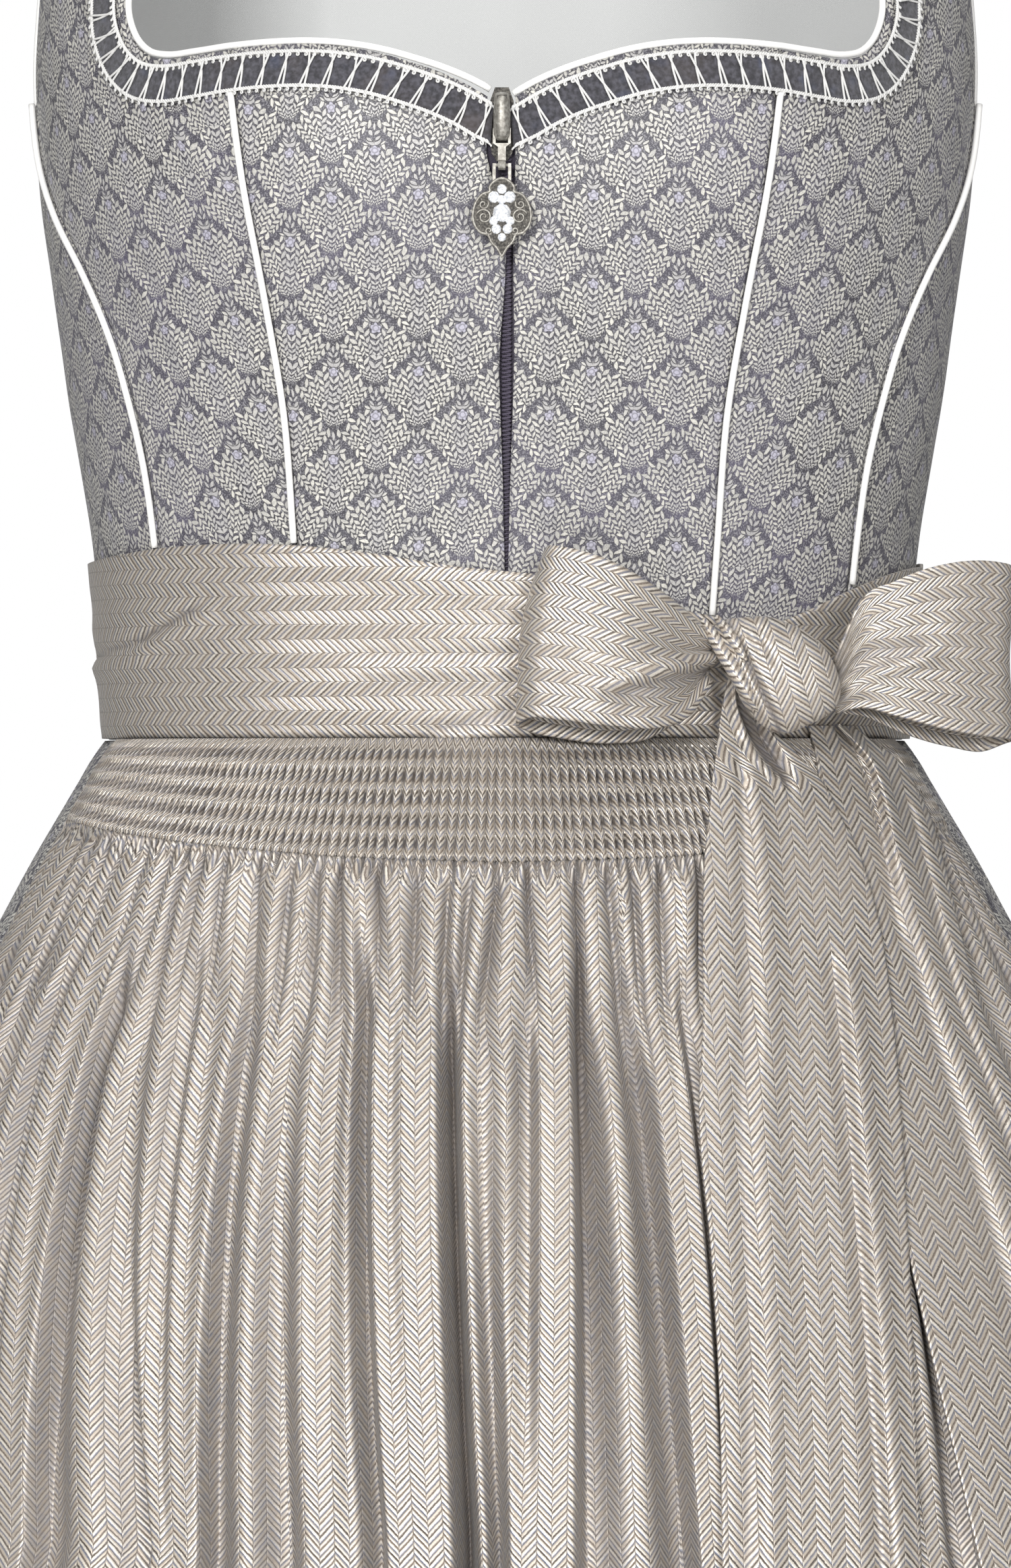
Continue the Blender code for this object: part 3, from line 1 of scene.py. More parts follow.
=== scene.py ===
import math
import bmesh
import bpy
import numpy as np
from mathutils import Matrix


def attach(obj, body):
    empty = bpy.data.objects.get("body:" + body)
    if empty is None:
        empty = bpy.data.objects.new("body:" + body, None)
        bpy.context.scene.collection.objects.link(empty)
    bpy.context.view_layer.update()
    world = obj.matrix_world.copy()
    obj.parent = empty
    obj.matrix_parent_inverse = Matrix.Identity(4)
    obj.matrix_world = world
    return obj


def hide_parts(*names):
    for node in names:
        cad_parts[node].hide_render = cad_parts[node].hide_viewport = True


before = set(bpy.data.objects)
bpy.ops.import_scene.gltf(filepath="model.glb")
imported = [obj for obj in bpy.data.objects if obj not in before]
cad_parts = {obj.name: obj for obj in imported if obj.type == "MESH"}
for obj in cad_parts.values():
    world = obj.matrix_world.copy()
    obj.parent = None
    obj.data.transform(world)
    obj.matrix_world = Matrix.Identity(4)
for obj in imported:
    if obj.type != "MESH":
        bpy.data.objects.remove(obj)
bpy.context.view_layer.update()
print("frame loaded")


# A table with named columns, each of them an array.
def rows(columns, values):
    values = np.array(values, dtype=float)
    return {name: values[:, index] for index, name in enumerate(columns.split())}


# The dress's form. Here and below lengths are millimetres, angles are degrees round from the front centre
# towards +X, and heights are measured up from the waist seam.
form = {
    "shoulderHeight": 384.0,
    "fullness": 0.13,
    "fullnessFade": 80.0,
    "bustHeight": 180.0,
    "bustOffset": 70.0,
    "bustSpread": 38.0,
    "bustRise": 7.0,
    "sideSeam": 97.0,
    "torso": rows("height width front back", (
        (0, 126.7, 92, 86), (30, 128.6, 95.5, 88), (60, 131.6, 100, 90), (107, 139.3, 110.5, 96),
        (146, 144.8, 119, 101), (172, 148.4, 122.5, 103.5), (198, 150.4, 122.5, 105),
        (211, 150.8, 120.5, 105.5), (237, 149.6, 114, 105), (270, 148.5, 102, 102), (300, 147, 90, 95),
        (330, 145, 76, 84), (350, 142, 62, 66), (362, 137, 50, 50), (372, 124, 38, 36),
        (379, 109, 27, 26), (384, 95, 17, 17), (388, 80, 9, 9))),
    "bell": rows("height width front back", (
        (-600, 333, 266, 281), (-500, 316, 247, 263), (-400, 294, 224, 240), (-300, 266, 197, 212),
        (-200, 231, 165, 178), (-100, 185, 129, 136), (-56, 161.1, 113.5, 115), (-39, 151.9, 107.5, 107),
        (-22, 141.9, 101.5, 98.5), (-13.4, 136.8, 98.5, 94), (-5, 131.9, 95.5, 90), (0, 128.2, 93, 87))),
}


# Cubic interpolation through a table's rows, with the rows' own slopes.
def eased(rowsIn, key, column, at):
    keys, values = rowsIn[key], rowsIn[column]
    slopes = np.gradient(values, keys)
    at = np.asarray(at, dtype=float)
    low = np.clip(np.searchsorted(keys, at) - 1, 0, len(keys) - 2)
    width = keys[low + 1] - keys[low]
    t = np.clip((at - keys[low]) / width, 0.0, 1.0)
    return (values[low] * (1 + 2 * t) * (1 - t) ** 2 + slopes[low] * width * t * (1 - t) ** 2
            + values[low + 1] * t * t * (3 - 2 * t) + slopes[low + 1] * width * t * t * (t - 1))


# An oval section: x is half width times sine, y is depth times cosine, fuller towards the sides.
def oval(shape, angle, height, fullness):
    angle, height = np.broadcast_arrays(np.radians(angle), np.asarray(height, dtype=float))
    cosine, sine = np.cos(angle), np.sin(angle)
    depth = np.where(cosine > 0, eased(shape, "height", "front", height),
                     eased(shape, "height", "back", height))
    x = eased(shape, "height", "width", height) * sine
    return np.stack((x, -depth * cosine * (1 + fullness * sine ** 2), height), axis=-1)


# The torso: ovals with two bell-curve bust swellings on the front.
def torso(angle, height):
    points = oval(form["torso"], angle, height, form["fullness"])
    sideways = (np.abs(points[..., 0]) - form["bustOffset"]) / form["bustSpread"]
    upward = (points[..., 2] - form["bustHeight"]) / form["bustSpread"]
    facing = np.clip(3 * np.cos(np.radians(angle)), 0, 1)
    points[..., 1] -= form["bustRise"] * np.exp(-(sideways ** 2 + upward ** 2) / 2) * facing
    return points


# The bell under the skirt: as full as the torso at the waist, a plain oval from the hips down.
def bell(angle, height):
    angle, height = np.broadcast_arrays(np.asarray(angle, float), np.asarray(height, float))
    fullness = form["fullness"] * np.clip(1 + height / form["fullnessFade"], 0, 1)
    return oval(form["bell"], angle, height, fullness)


# Sideways and upward steps of a surface, by small differences.
def stepsOf(surface, angle, height, step=1e-3):
    around = surface(angle + step, height) - surface(angle - step, height)
    upward = surface(angle, height + step) - surface(angle, height - step)
    return around / (2 * step), upward / (2 * step)


# Points of a surface moved out along its normals.
def lifted(surface, angle, height, out):
    angle, height = np.broadcast_arrays(np.asarray(angle, float), np.asarray(height, float))
    around, upward = stepsOf(surface, angle, height)
    normal = np.cross(around, upward)
    normal /= np.linalg.norm(normal, axis=-1, keepdims=True)
    return surface(angle, height) + normal * np.asarray(out)[..., None]


# Points moved level away from the upright axis.
def pushed(points, out):
    level = points.copy()
    level[..., 2] = 0.0
    return points + level / np.linalg.norm(level, axis=-1, keepdims=True) * np.asarray(out)[..., None]


# The angle at which a form, moved out, reaches a place sideways: the arc sine of place over half width.
def sideAngle(shape, x, height, out=0.0):
    halfWidth = eased(shape, "height", "width", height) + out
    return np.degrees(np.arcsin(np.clip(x / halfWidth, -1.0, 1.0)))


# The degrees round a surface that cover a length: the length over the surface's step for one degree.
def degreesOf(surface, angle, height, length):
    around, _ = stepsOf(surface, np.asarray(angle, float), np.asarray(height, float))
    return length / np.linalg.norm(around, axis=-1)


# 0 below 0 and 1 above 1, with a cubic between.
def smooth(value):
    value = np.clip(value, 0.0, 1.0)
    return value * value * (3 - 2 * value)


# A bell curve, 1 at its middle.
def hump(value, middle, spread):
    return np.exp(-((value - middle) / spread) ** 2)


# Slow unevenness between -1 and 1: three crossed sine waves of unrelated lengths.
def wander(first, second, seed):
    return (np.sin(first * 1.7 + second * 0.6 + seed) + np.sin(first * 0.73 - second * 1.31 + 2.1 * seed)
            + np.sin(first * 0.31 + second * 2.3 + 3.7 * seed)) / 3


# Cloth places on a form: lengths round it from the front centre and up it from the lowest height,
# summed once on a grid and read between the grid's points.
class ClothLengths:
    def __init__(self, surface, low, high):
        self.low, self.high, self.count = low, high, 160
        angles = np.arange(0.0, 362.0, 2.0)
        points = surface(angles[None, :], np.linspace(low, high, self.count)[:, None])
        around = np.linalg.norm(np.diff(points, axis=1), axis=-1)
        upward = np.linalg.norm(np.diff(points, axis=0), axis=-1)
        self.around = np.concatenate((np.zeros((self.count, 1)), np.cumsum(around, axis=1)), axis=1)
        self.upward = np.concatenate((np.zeros((1, len(angles))), np.cumsum(upward, axis=0)), axis=0)

    def read(self, grid, angle, height):
        column = np.clip(np.abs(angle) / 2.0, 0, grid.shape[1] - 1.001)
        row = np.clip((height - self.low) / (self.high - self.low) * (self.count - 1), 0, self.count - 1.001)
        c, r = column.astype(int), row.astype(int)
        fc, fr = column - c, row - r
        return ((grid[r, c] * (1 - fc) + grid[r, c + 1] * fc) * (1 - fr)
                + (grid[r + 1, c] * (1 - fc) + grid[r + 1, c + 1] * fc) * fr)

    def place(self, angle, height, grain=0.0):
        angle, height, grain = np.broadcast_arrays(angle, height, grain)
        across = (np.sign(angle) * self.read(self.around, angle, height)
                  - np.sign(grain) * self.read(self.around, grain, height))
        return np.stack((across, self.read(self.upward, angle, height)), axis=-1)


torsoCloth = ClothLengths(torso, 0.0, 388.0)
bellCloth = ClothLengths(bell, -600.0, 0.0)


# Grids of points joined by four-sided faces, any number of grids in one batch.
def gridPart(points, cloth=None, tuck=0.0, wraps=False, loops=False, flip=False):
    if points.ndim == 3:
        points = points[None]
        cloth = None if cloth is None else cloth[None]
    if cloth is None:
        cloth = np.zeros(points.shape[:3] + (2,))
    # Painted shade per point, 0 unless given.
    tuck = np.broadcast_to(tuck, points.shape[:3])
    place = np.arange(np.prod(points.shape[:3])).reshape(points.shape[:3])
    if wraps:
        points, tuck = points[:, :, :-1], tuck[:, :, :-1]
    if loops:
        points, tuck = points[:, :-1], tuck[:, :-1]
    index = np.arange(np.prod(points.shape[:3])).reshape(points.shape[:3])
    if wraps:
        index = np.concatenate((index, index[:, :, :1]), axis=2)
    if loops:
        index = np.concatenate((index, index[:, :1]), axis=1)

    def corners(grid):
        return np.stack((grid[:, :-1, :-1], grid[:, :-1, 1:], grid[:, 1:, 1:], grid[:, 1:, :-1]),
                        axis=-1).reshape(-1, 4)

    quads, places = corners(index), corners(place)
    if flip:
        quads, places = quads[:, ::-1], places[:, ::-1]
    return {"points": points.reshape(-1, 3), "quads": quads, "cloth": cloth.reshape(-1, 2)[places],
            "tuck": tuck.ravel()}


# Several parts in one, each part's faces counted on past the points before it.
def joined(parts):
    offsets = np.cumsum([0] + [len(part["points"]) for part in parts[:-1]])
    return {"points": np.concatenate([part["points"] for part in parts]),
            "quads": np.concatenate([part["quads"] + offset for part, offset in zip(parts, offsets)]),
            "cloth": np.concatenate([part["cloth"] for part in parts]),
            "tuck": np.concatenate([part["tuck"] for part in parts])}


# Tubes round paths: a circle of the given radius, square to the path, at every point of it.
def tubePart(paths, radius, sides=10, loops=False, squash=1.0, facing=None):
    paths = np.asarray(paths, float)
    if paths.ndim == 2:
        paths = paths[None]
    if loops:
        tangent = np.roll(paths, -1, axis=1) - np.roll(paths, 1, axis=1)
    else:
        tangent = np.gradient(paths, axis=1)
    tangent /= np.linalg.norm(tangent, axis=-1, keepdims=True) + 1e-12
    if facing is None:
        facing = paths * np.array((1.0, 1.0, 0.0))
    outward = facing - tangent * np.sum(facing * tangent, axis=-1, keepdims=True)
    outward /= np.linalg.norm(outward, axis=-1, keepdims=True) + 1e-12
    sideways = np.cross(tangent, outward)
    turn = np.linspace(0, 2 * math.pi, sides + 1)[None, None, :, None]
    radius = np.broadcast_to(np.asarray(radius, float), paths.shape[:2])[..., None, None]
    rings = paths[:, :, None] + radius * (np.cos(turn) * outward[:, :, None] * squash
                                          + np.sin(turn) * sideways[:, :, None])
    lengths = np.cumsum(np.linalg.norm(np.diff(paths, axis=1, prepend=paths[:, :1]), axis=-1), axis=1)
    if loops:
        rings = np.concatenate((rings, rings[:, :1]), axis=1)
        lengths = np.concatenate((lengths, lengths[:, -1:] + 1.0), axis=1)
    else:
        ends = [np.broadcast_to(paths[:, end, None, None], rings[:, :1].shape) for end in (0, -1)]
        rings = np.concatenate((ends[0], rings, ends[1]), axis=1)
        lengths = np.concatenate((lengths[:, :1], lengths, lengths[:, -1:]), axis=1)
    around = np.linspace(0, 1, sides + 1)[None, None, :] * 2 * math.pi * radius[:, :1, 0]
    cloth = np.stack(np.broadcast_arrays(around, lengths[:, :, None]), axis=-1)
    return gridPart(rings, cloth, wraps=True, loops=loops)


# A finished piece: the mesh in metres with its cloth map, its material, body and CAD node.
def addPiece(name, part, paint, nodes=(), body="dress", wall=0.0, weld=False, facets=False):
    mesh = bpy.data.meshes.new(name)
    points = part["points"].copy()
    points[:, 2] -= form["shoulderHeight"]
    mesh.vertices.add(len(points))
    mesh.vertices.foreach_set("co", (points * 0.001).ravel())
    mesh.loops.add(part["quads"].size)
    mesh.loops.foreach_set("vertex_index", part["quads"].ravel())
    mesh.polygons.add(len(part["quads"]))
    mesh.polygons.foreach_set("loop_start", np.arange(0, part["quads"].size, 4))
    clothMap = mesh.uv_layers.new(name="clothMap")
    clothMap.data.foreach_set("uv", part["cloth"].ravel())
    # Painted shade per point as an attribute, which the herringbone and brocade finishes read to darken
    # valleys, creases and slits.
    tuck = mesh.attributes.new("tuck", "FLOAT", "POINT")
    tuck.data.foreach_set("value", part["tuck"].astype(float))
    mesh.update(calc_edges=True)
    if weld:
        cage = bmesh.new()
        cage.from_mesh(mesh)
        bmesh.ops.remove_doubles(cage, verts=cage.verts, dist=1e-7)
        bmesh.ops.recalc_face_normals(cage, faces=cage.faces)
        cage.to_mesh(mesh)
        cage.free()
    mesh.materials.append(paint)
    if not facets:
        mesh.shade_smooth()
    piece = bpy.data.objects.new(name, mesh)
    bpy.context.scene.collection.objects.link(piece)
    if wall:
        thickness = piece.modifiers.new("thickness", "SOLIDIFY")
        thickness.thickness = wall * 0.001
        thickness.offset = -1.0
    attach(piece, body)
    for node in nodes:
        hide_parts(node)
    return piece


# Shader maths: a socket with Python's operators, and a paint that makes every other node.
class Wire:
    def __init__(self, paint, socket):
        self.paint, self.socket = paint, socket

    def math(self, operation, other=0.0):
        return self.paint.node("Math", {"operation": operation}, {0: self, 1: other})

    def reflected(self, operation, other):
        return self.paint.node("Math", {"operation": operation}, {0: other, 1: self})

    def __add__(self, other):
        return self.math("ADD", other)

    def __sub__(self, other):
        return self.math("SUBTRACT", other)

    def __rsub__(self, other):
        return self.reflected("SUBTRACT", other)

    def __mul__(self, other):
        return self.math("MULTIPLY", other)

    def __truediv__(self, other):
        return self.math("DIVIDE", other)

    def __rtruediv__(self, other):
        return self.reflected("DIVIDE", other)

    def __pow__(self, other):
        return self.math("POWER", other)

    def __abs__(self):
        return self.math("ABSOLUTE")

    __radd__, __rmul__ = __add__, __mul__

    def fraction(self):
        return self.math("FRACT")

    def lower(self, other):
        return self.math("MINIMUM", other)

    def higher(self, other):
        return self.math("MAXIMUM", other)

    # 0 below the first value and 1 above the second, smooth between them.
    def step(self, low, high):
        return self.paint.node("MapRange", {"interpolation_type": "SMOOTHSTEP"},
                               {"Value": self, "From Min": low, "From Max": high})


# Linear light from a screen colour's three values of 0 to 255.
def colour(red, green, blue):
    share = [value / 255 for value in (red, green, blue)]
    return tuple(s / 12.92 if s <= 0.04045 else ((s + 0.055) / 1.055) ** 2.4 for s in share) + (1.0,)


# A material under construction. Its node method makes every node: a type, its settings, then its sockets.
class Paint:
    def __init__(self, name):
        self.material = bpy.data.materials.new(name)
        self.material.use_nodes = True
        self.tree = self.material.node_tree
        self.shader = self.tree.nodes["Principled BSDF"]

    def feed(self, socket, value):
        if isinstance(value, Wire):
            self.tree.links.new(value.socket, socket)
        else:
            socket.default_value = value

    def node(self, kind, settings, sockets, output=0):
        made = self.tree.nodes.new("ShaderNode" + kind)
        for name, value in settings.items():
            if name == "stops":
                ends = made.color_ramp.elements
                ends[0].position, ends[1].position = value[0][0], value[-1][0]
                ends[0].color, ends[1].color = value[0][1], value[-1][1]
                for place, shade in value[1:-1]:
                    ends.new(place).color = shade
            else:
                setattr(made, name, value)
        for name, value in sockets.items():
            self.feed(made.inputs[name], value)
        return Wire(self, made.outputs[output])

    def cloth(self):
        place = self.node("UVMap", {"uv_map": "clothMap"}, {})
        return [self.node("SeparateXYZ", {}, {0: place}, output) for output in (0, 1)]

    def mix(self, share, first, second):
        return self.node("Mix", {"data_type": "RGBA"}, {0: share, 6: first, 7: second}, 2)

    def ramp(self, share, stops):
        return self.node("ValToRGB", {"stops": stops}, {0: share})

    # Noise in metres of the object, stretched along its axes, from 0 to 1.
    def noise(self, scale, detail=2.0, stretch=(1.0, 1.0, 1.0)):
        place = self.node("TexCoord", {}, {}, 3)
        place = self.node("Mapping", {}, {"Vector": place, "Scale": stretch})
        return self.node("TexNoise", {}, {"Vector": place, "Scale": scale, "Detail": detail})

    def finish(self, base, roughness, height=None, depth=0.1, **fixed):
        self.feed(self.shader.inputs["Base Color"], base)
        self.feed(self.shader.inputs["Roughness"], roughness)
        if height is not None:
            bump = self.node("Bump", {}, {"Height": height, "Distance": depth * 0.001, "Strength": 1.0})
            self.feed(self.shader.inputs["Normal"], bump)
        for name, value in fixed.items():
            self.shader.inputs[name.replace("_", " ")].default_value = value
        return self.material


# Herringbone satin: broad cream twill lines between thin dark ones, turning at each column's edge.
# Every second column gets a painted duller sheen. Painted shade makes the cloth grey and mottled in valleys,
# creases and slits.
herringbone = {
    "column": 4.45,
    "slope": 1.08,
    "line": 1.93,
    "meet": 0.35,
    "wobble": ((650.0, 0.3), (110.0, 0.7)),
    "dark": (colour(110, 113, 126), colour(78, 70, 64), colour(122, 123, 134), colour(110, 98, 88)),
    "cream": (colour(222, 215, 203), colour(201, 191, 177), colour(215, 207, 194), colour(190, 179, 164)),
    "lineEdges": (0.075, 0.115, 0.205),
    "turn": colour(120, 110, 102),
    # Painted shade tones for valleys, creases and slits: soft, grey and deep.
    "tucked": (colour(138, 128, 118), colour(114, 114, 121), colour(66, 58, 52)),
    # A duller tone: for random slubs and mottling, and for the painted duller sheen of every second column.
    "shaded": colour(172, 162, 152),
    "roughness": 0.28,
    "relief": 0.14,
    "metallic": 0.38,
    "sheen": 0.1,
}


# Colour stops across four twill lines: each is a dark line, a short step, and a cream one.
def lineStops():
    stops = []
    darkEnd, creamStart, creamEnd = herringbone["lineEdges"]
    for number, (dark, cream) in enumerate(zip(herringbone["dark"], herringbone["cream"])):
        start = number / 4
        stops += [(start, dark), (start + darkEnd, dark)]
        stops += [(start + creamStart, cream), (start + creamEnd, cream)]
    return stops + [(0.999, herringbone["dark"][0])]


# Twill lines lie at the length along the cloth plus a slope times the length across, which runs back and
# forth from column to column.
def herringbonePaint(name):
    paint = Paint(name)
    across, along = paint.cloth()
    tuck = paint.node("Attribute", {"attribute_name": "tuck"}, {}, 2)
    column = across / herringbone["column"]
    turned = across.math("PINGPONG", herringbone["column"])
    parity = abs(column.math("FLOOR").math("MODULO", 2.0))
    slow, quick = [(paint.noise(scale) - 0.5) * size for scale, size in herringbone["wobble"]]
    tilted = along + turned * herringbone["slope"] + parity * (herringbone["line"] * herringbone["meet"])
    tilted = tilted + (slow + quick)
    slub = paint.noise(1900.0, 1.0)
    tint = paint.ramp(((tilted + (slub - 0.5) * 0.5) / (herringbone["line"] * 4)).fraction(), lineStops())
    tint = paint.mix(slub.step(0.45, 0.75) * 0.35, tint, herringbone["shaded"])
    thread = (tilted / herringbone["line"] - 0.14).fraction() - 0.5
    ridge = 1 - thread * thread * 4
    edge = abs(column.fraction() - 0.5).step(0.44, 0.5)
    tint = paint.mix(edge * 0.35, tint, herringbone["turn"])
    # Painted sheen: every second column is duller.
    tint = paint.mix(parity * 0.13, tint, herringbone["shaded"])
    # Painted shade from the point attribute: grey, mottled tones in valleys, creases and slits, near black in
    # the deepest.
    soft, grey, deep = herringbone["tucked"]
    flat = paint.mix(paint.noise(420.0, 3.0).step(0.35, 0.65), soft, grey)
    tint = paint.mix(tuck.step(0.2, 0.9) * 0.7, tint, flat)
    tint = paint.mix(tuck.step(0.55, 1.1) * 0.8, tint, deep)
    tint = paint.mix(paint.noise(24.0, 3.0).step(0.4, 0.75) * 0.22, tint, herringbone["shaded"])
    rough = paint.noise(160.0) * 0.16 + tuck * 0.2 + herringbone["roughness"]
    return paint.finish(tint, rough, ridge - edge * 0.6, herringbone["relief"],
                        Metallic=herringbone["metallic"], Sheen_Weight=herringbone["sheen"])


# Brocade: ferns on half-drop diamonds. Stems fan out from each diamond's foot and double once on their way,
# with leaves on both flanks, larger further out; a small rosette and an upright sprig stand at the top.
brocade = {
    "width": 26.5,
    "height": 27.2,
    "wobble": ((170.0, 2.4), (210.0, 2.0)),
    "footDrop": 0.9,
    "fan": math.radians(44.5),
    "stems": 2.1,
    "branch": 11.0,
    "leaves": {"pitch": 0.74, "lean": math.radians(37.0), "long": 0.5, "wide": 0.17, "growth": 0.07,
               "reach": 0.26, "middle": 0.27},
    "bareFoot": (2.6, 3.2),
    "gap": 1.2,
    "rosette": {"height": 5.0, "radius": 1.5, "lobes": 5.0, "lobeDepth": 0.3, "eye": 0.8, "clear": 1.8,
                "colour": colour(208, 205, 219)},
    "sprig": rows("x y lean long wide", (
        (0.0, 12.2, 0.0, 1.5, 0.58), (0.95, 10.4, 36.0, 1.3, 0.52), (1.25, 8.7, 44.0, 1.2, 0.5),
        (2.7, 7.4, 58.0, 1.15, 0.46))),
    "ground": (colour(60, 58, 64), colour(84, 80, 95), colour(70, 68, 76)),
    "leaf": (colour(216, 213, 203), colour(168, 166, 162), colour(166, 164, 167)),
    "thread": colour(190, 188, 192),
    "roughness": 0.46,
    "relief": 0.16,
    "sheen": 0.08,
}


# Half-drop diamonds: the offset from the nearest diamond's middle, sideways without its sign, and upwards.
# The two slanted coordinates, across over width plus or minus up over height, are rounded off by themselves.
def diamondPlace(paint):
    across, up = paint.cloth()
    width, height = brocade["width"], brocade["height"]
    (acrossScale, acrossSize), (upScale, upSize) = brocade["wobble"]
    across = across + (paint.noise(acrossScale) - 0.5) * acrossSize
    up = up + (paint.noise(upScale) - 0.5) * upSize
    first = across / width + up / height
    second = across / width - up / height
    x = abs((first - first.math("ROUND") + second - second.math("ROUND")) * (width / 2))
    y = (first - first.math("ROUND") - second + second.math("ROUND")) * (height / 2)
    return x, y


# The fan of leaves: where leaves lie, and a random value for each leaf. Round the diamond's foot, the angle
# and the logarithm of the distance are both measured in the stems' spacing, so leaves grow outwards with it.
# A leaf is an oval across its stem's flank, kept where its middle is inside the diamond.
def leafFan(paint, x, y):
    leaves, foot = brocade["leaves"], brocade["height"] / 2 + brocade["footDrop"]
    above = y + foot
    outward = (x * x + above * above) ** 0.5
    level = outward.step(brocade["branch"] - 0.01, brocade["branch"])
    unit = (1 - level * 0.5) * (brocade["fan"] / brocade["stems"])
    stem, spread = x.math("ARCTAN2", above) / unit, outward.math("LOGARITHM", math.e) / unit
    sine, cosine = math.sin(leaves["lean"]), math.cos(leaves["lean"])
    row = stem + 0.5
    side = row.fraction() - 0.5
    flank = side.math("SIGN")
    slant = (spread - abs(side) * (cosine / sine) + flank * (leaves["pitch"] / 4)) / leaves["pitch"]
    within = (slant.fraction() - 0.5) * leaves["pitch"]
    number, stemNumber = slant.math("FLOOR"), row.math("FLOOR")
    place = paint.node("CombineXYZ", {}, {0: number, 1: stemNumber + level * 20.0, 2: flank})
    own = paint.node("TexWhiteNoise", {}, {"Vector": place})
    length = (abs(side) - leaves["reach"]) / sine + within * cosine
    value = abs(within * sine) / (own * leaves["growth"] + leaves["wide"]) + (length / leaves["long"]) ** 2.0
    centreOut = (((number + 0.5) * leaves["pitch"] - flank * (leaves["pitch"] / 4)
                  + leaves["middle"] * cosine / sine) * unit).math("EXPONENT")
    centreTurn = (stemNumber + flank * leaves["middle"]) * unit
    centreX, centreY = centreOut * centreTurn.math("SINE"), centreOut * centreTurn.math("COSINE") - foot
    inside = brocade["height"] / 2 - centreX * (brocade["height"] / brocade["width"]) - centreY
    keep = inside.step(brocade["gap"] + own * 0.5, 2.0) * centreOut.step(*brocade["bareFoot"])
    return (1 - value.step(0.7, 1.1)) * keep, own


# The sprig's leaves as one value: below 1 inside the nearest pointed oval and above it outside.
def sprigValue(x, y):
    nearest = None
    for atX, atY, lean, long, wide in zip(*brocade["sprig"].values()):
        sine, cosine = math.sin(math.radians(lean)), math.cos(math.radians(lean))
        along = (x - atX) * sine + (y - atY) * cosine
        breadth = (x - atX) * cosine - (y - atY) * sine
        leaf = abs(breadth) / wide + (along / long) ** 2.0
        nearest = leaf if nearest is None else nearest.lower(leaf)
    return nearest


# Brocade: a ground of threads, with the higher of fans, sprig and rosette as the leaves' woven satin.
def brocadePaint(name):
    paint = Paint(name)
    tuck = paint.node("Attribute", {"attribute_name": "tuck"}, {}, 2)
    x, y = diamondPlace(paint)
    fan, own = leafFan(paint, x, y)
    sprig, flower = sprigValue(x, y), brocade["rosette"]
    fromRosette = y - flower["height"]
    petals = (x * x + fromRosette * fromRosette) ** 0.5
    lobes = (x.math("ARCTAN2", fromRosette) * flower["lobes"]).math("COSINE") * flower["lobeDepth"]
    rosette = 1 - (petals / (lobes + flower["radius"])).step(0.75, 1.1)
    eye = (1 - abs(petals - flower["eye"]).step(0.1, 0.3)) * rosette
    clear = (1 - (petals / flower["clear"]).step(0.9, 1.05)).higher(1 - sprig.step(1.1, 1.5))
    leaf = (fan * (1 - clear)).higher(1 - sprig.step(0.75, 1.05))
    threads, slow = paint.noise(2100.0, 1.0), paint.noise(14.0)
    dark, violet, low = brocade["ground"]
    light, shaded, middle = brocade["leaf"]
    # Painted sheen: slow noise lays violet patches over the dark ground.
    ground = paint.mix(slow.step(0.42, 0.62), dark, violet)
    ground = paint.mix((y + 12.0 - x).step(0.0, 9.0) * 0.7, ground, low)
    ground = paint.mix(threads.step(0.45, 0.7) * 0.4, ground, brocade["thread"])
    leafTint = paint.mix(own * 0.75 + threads.step(0.4, 0.6) * 0.4, light, shaded)
    leafTint = paint.mix((1 - (x / 5.0).step(0.1, 0.9)) * 0.5, leafTint, middle)
    tint = paint.mix(leaf, ground, leafTint)
    tint = paint.mix(rosette * 0.65, tint, flower["colour"])
    tint = paint.mix(eye * 0.5, tint, low)
    # Painted sheen: the same slow noise tints leaves and ground violet in patches.
    tint = paint.mix(slow.step(0.45, 0.8) * 0.16, tint, violet)
    # Painted shade in valleys and gathers, from the point attribute, pulls the colour to the dark ground.
    tint = paint.mix(tuck.step(0.3, 1.0) * 0.55, tint, dark)
    rough = brocade["roughness"] - leaf * 0.1 + threads * 0.1
    return paint.finish(tint, rough, leaf * 2.0 + threads * 0.7, brocade["relief"],
                        Sheen_Weight=brocade["sheen"])


# Plain weave: crossing threads at a fine pitch.
def weavePaint(name, base, pitch, roughness, depth=0.06, sheen=0.1):
    paint = Paint(name)
    across, up = paint.cloth()
    warp = ((across / pitch) * (2 * math.pi)).math("SINE")
    weft = ((up / pitch) * (2 * math.pi)).math("SINE")
    height = warp * weft
    tint = paint.mix(paint.noise(14.0).step(0.3, 0.75) * 0.12, base, colour(120, 118, 118))
    # Painted shade where the weave's height is low, between crossing threads.
    tint = paint.mix((1 - height).step(0.8, 2.0) * 0.1, tint, colour(90, 88, 90))
    return paint.finish(tint, roughness + paint.noise(300.0) * 0.06, height, depth, Sheen_Weight=sheen)


# Velvet: a mottled nap with a pale sheen towards the edges of the light.
def velvetPaint(name):
    paint = Paint(name)
    nap = paint.noise(700.0, 3.0)
    patch = paint.noise(60.0, 2.0)
    tint = paint.mix(nap.step(0.3, 0.75), colour(44, 43, 47), colour(80, 79, 86))
    tint = paint.mix(patch.step(0.5, 0.8) * 0.4, tint, colour(84, 74, 68))
    tint = paint.mix(paint.noise(95.0, 2.0).step(0.55, 0.8) * 0.5, tint, colour(74, 84, 112))
    return paint.finish(tint, 0.92, nap, 0.25, Sheen_Weight=0.5, Sheen_Roughness=0.5)


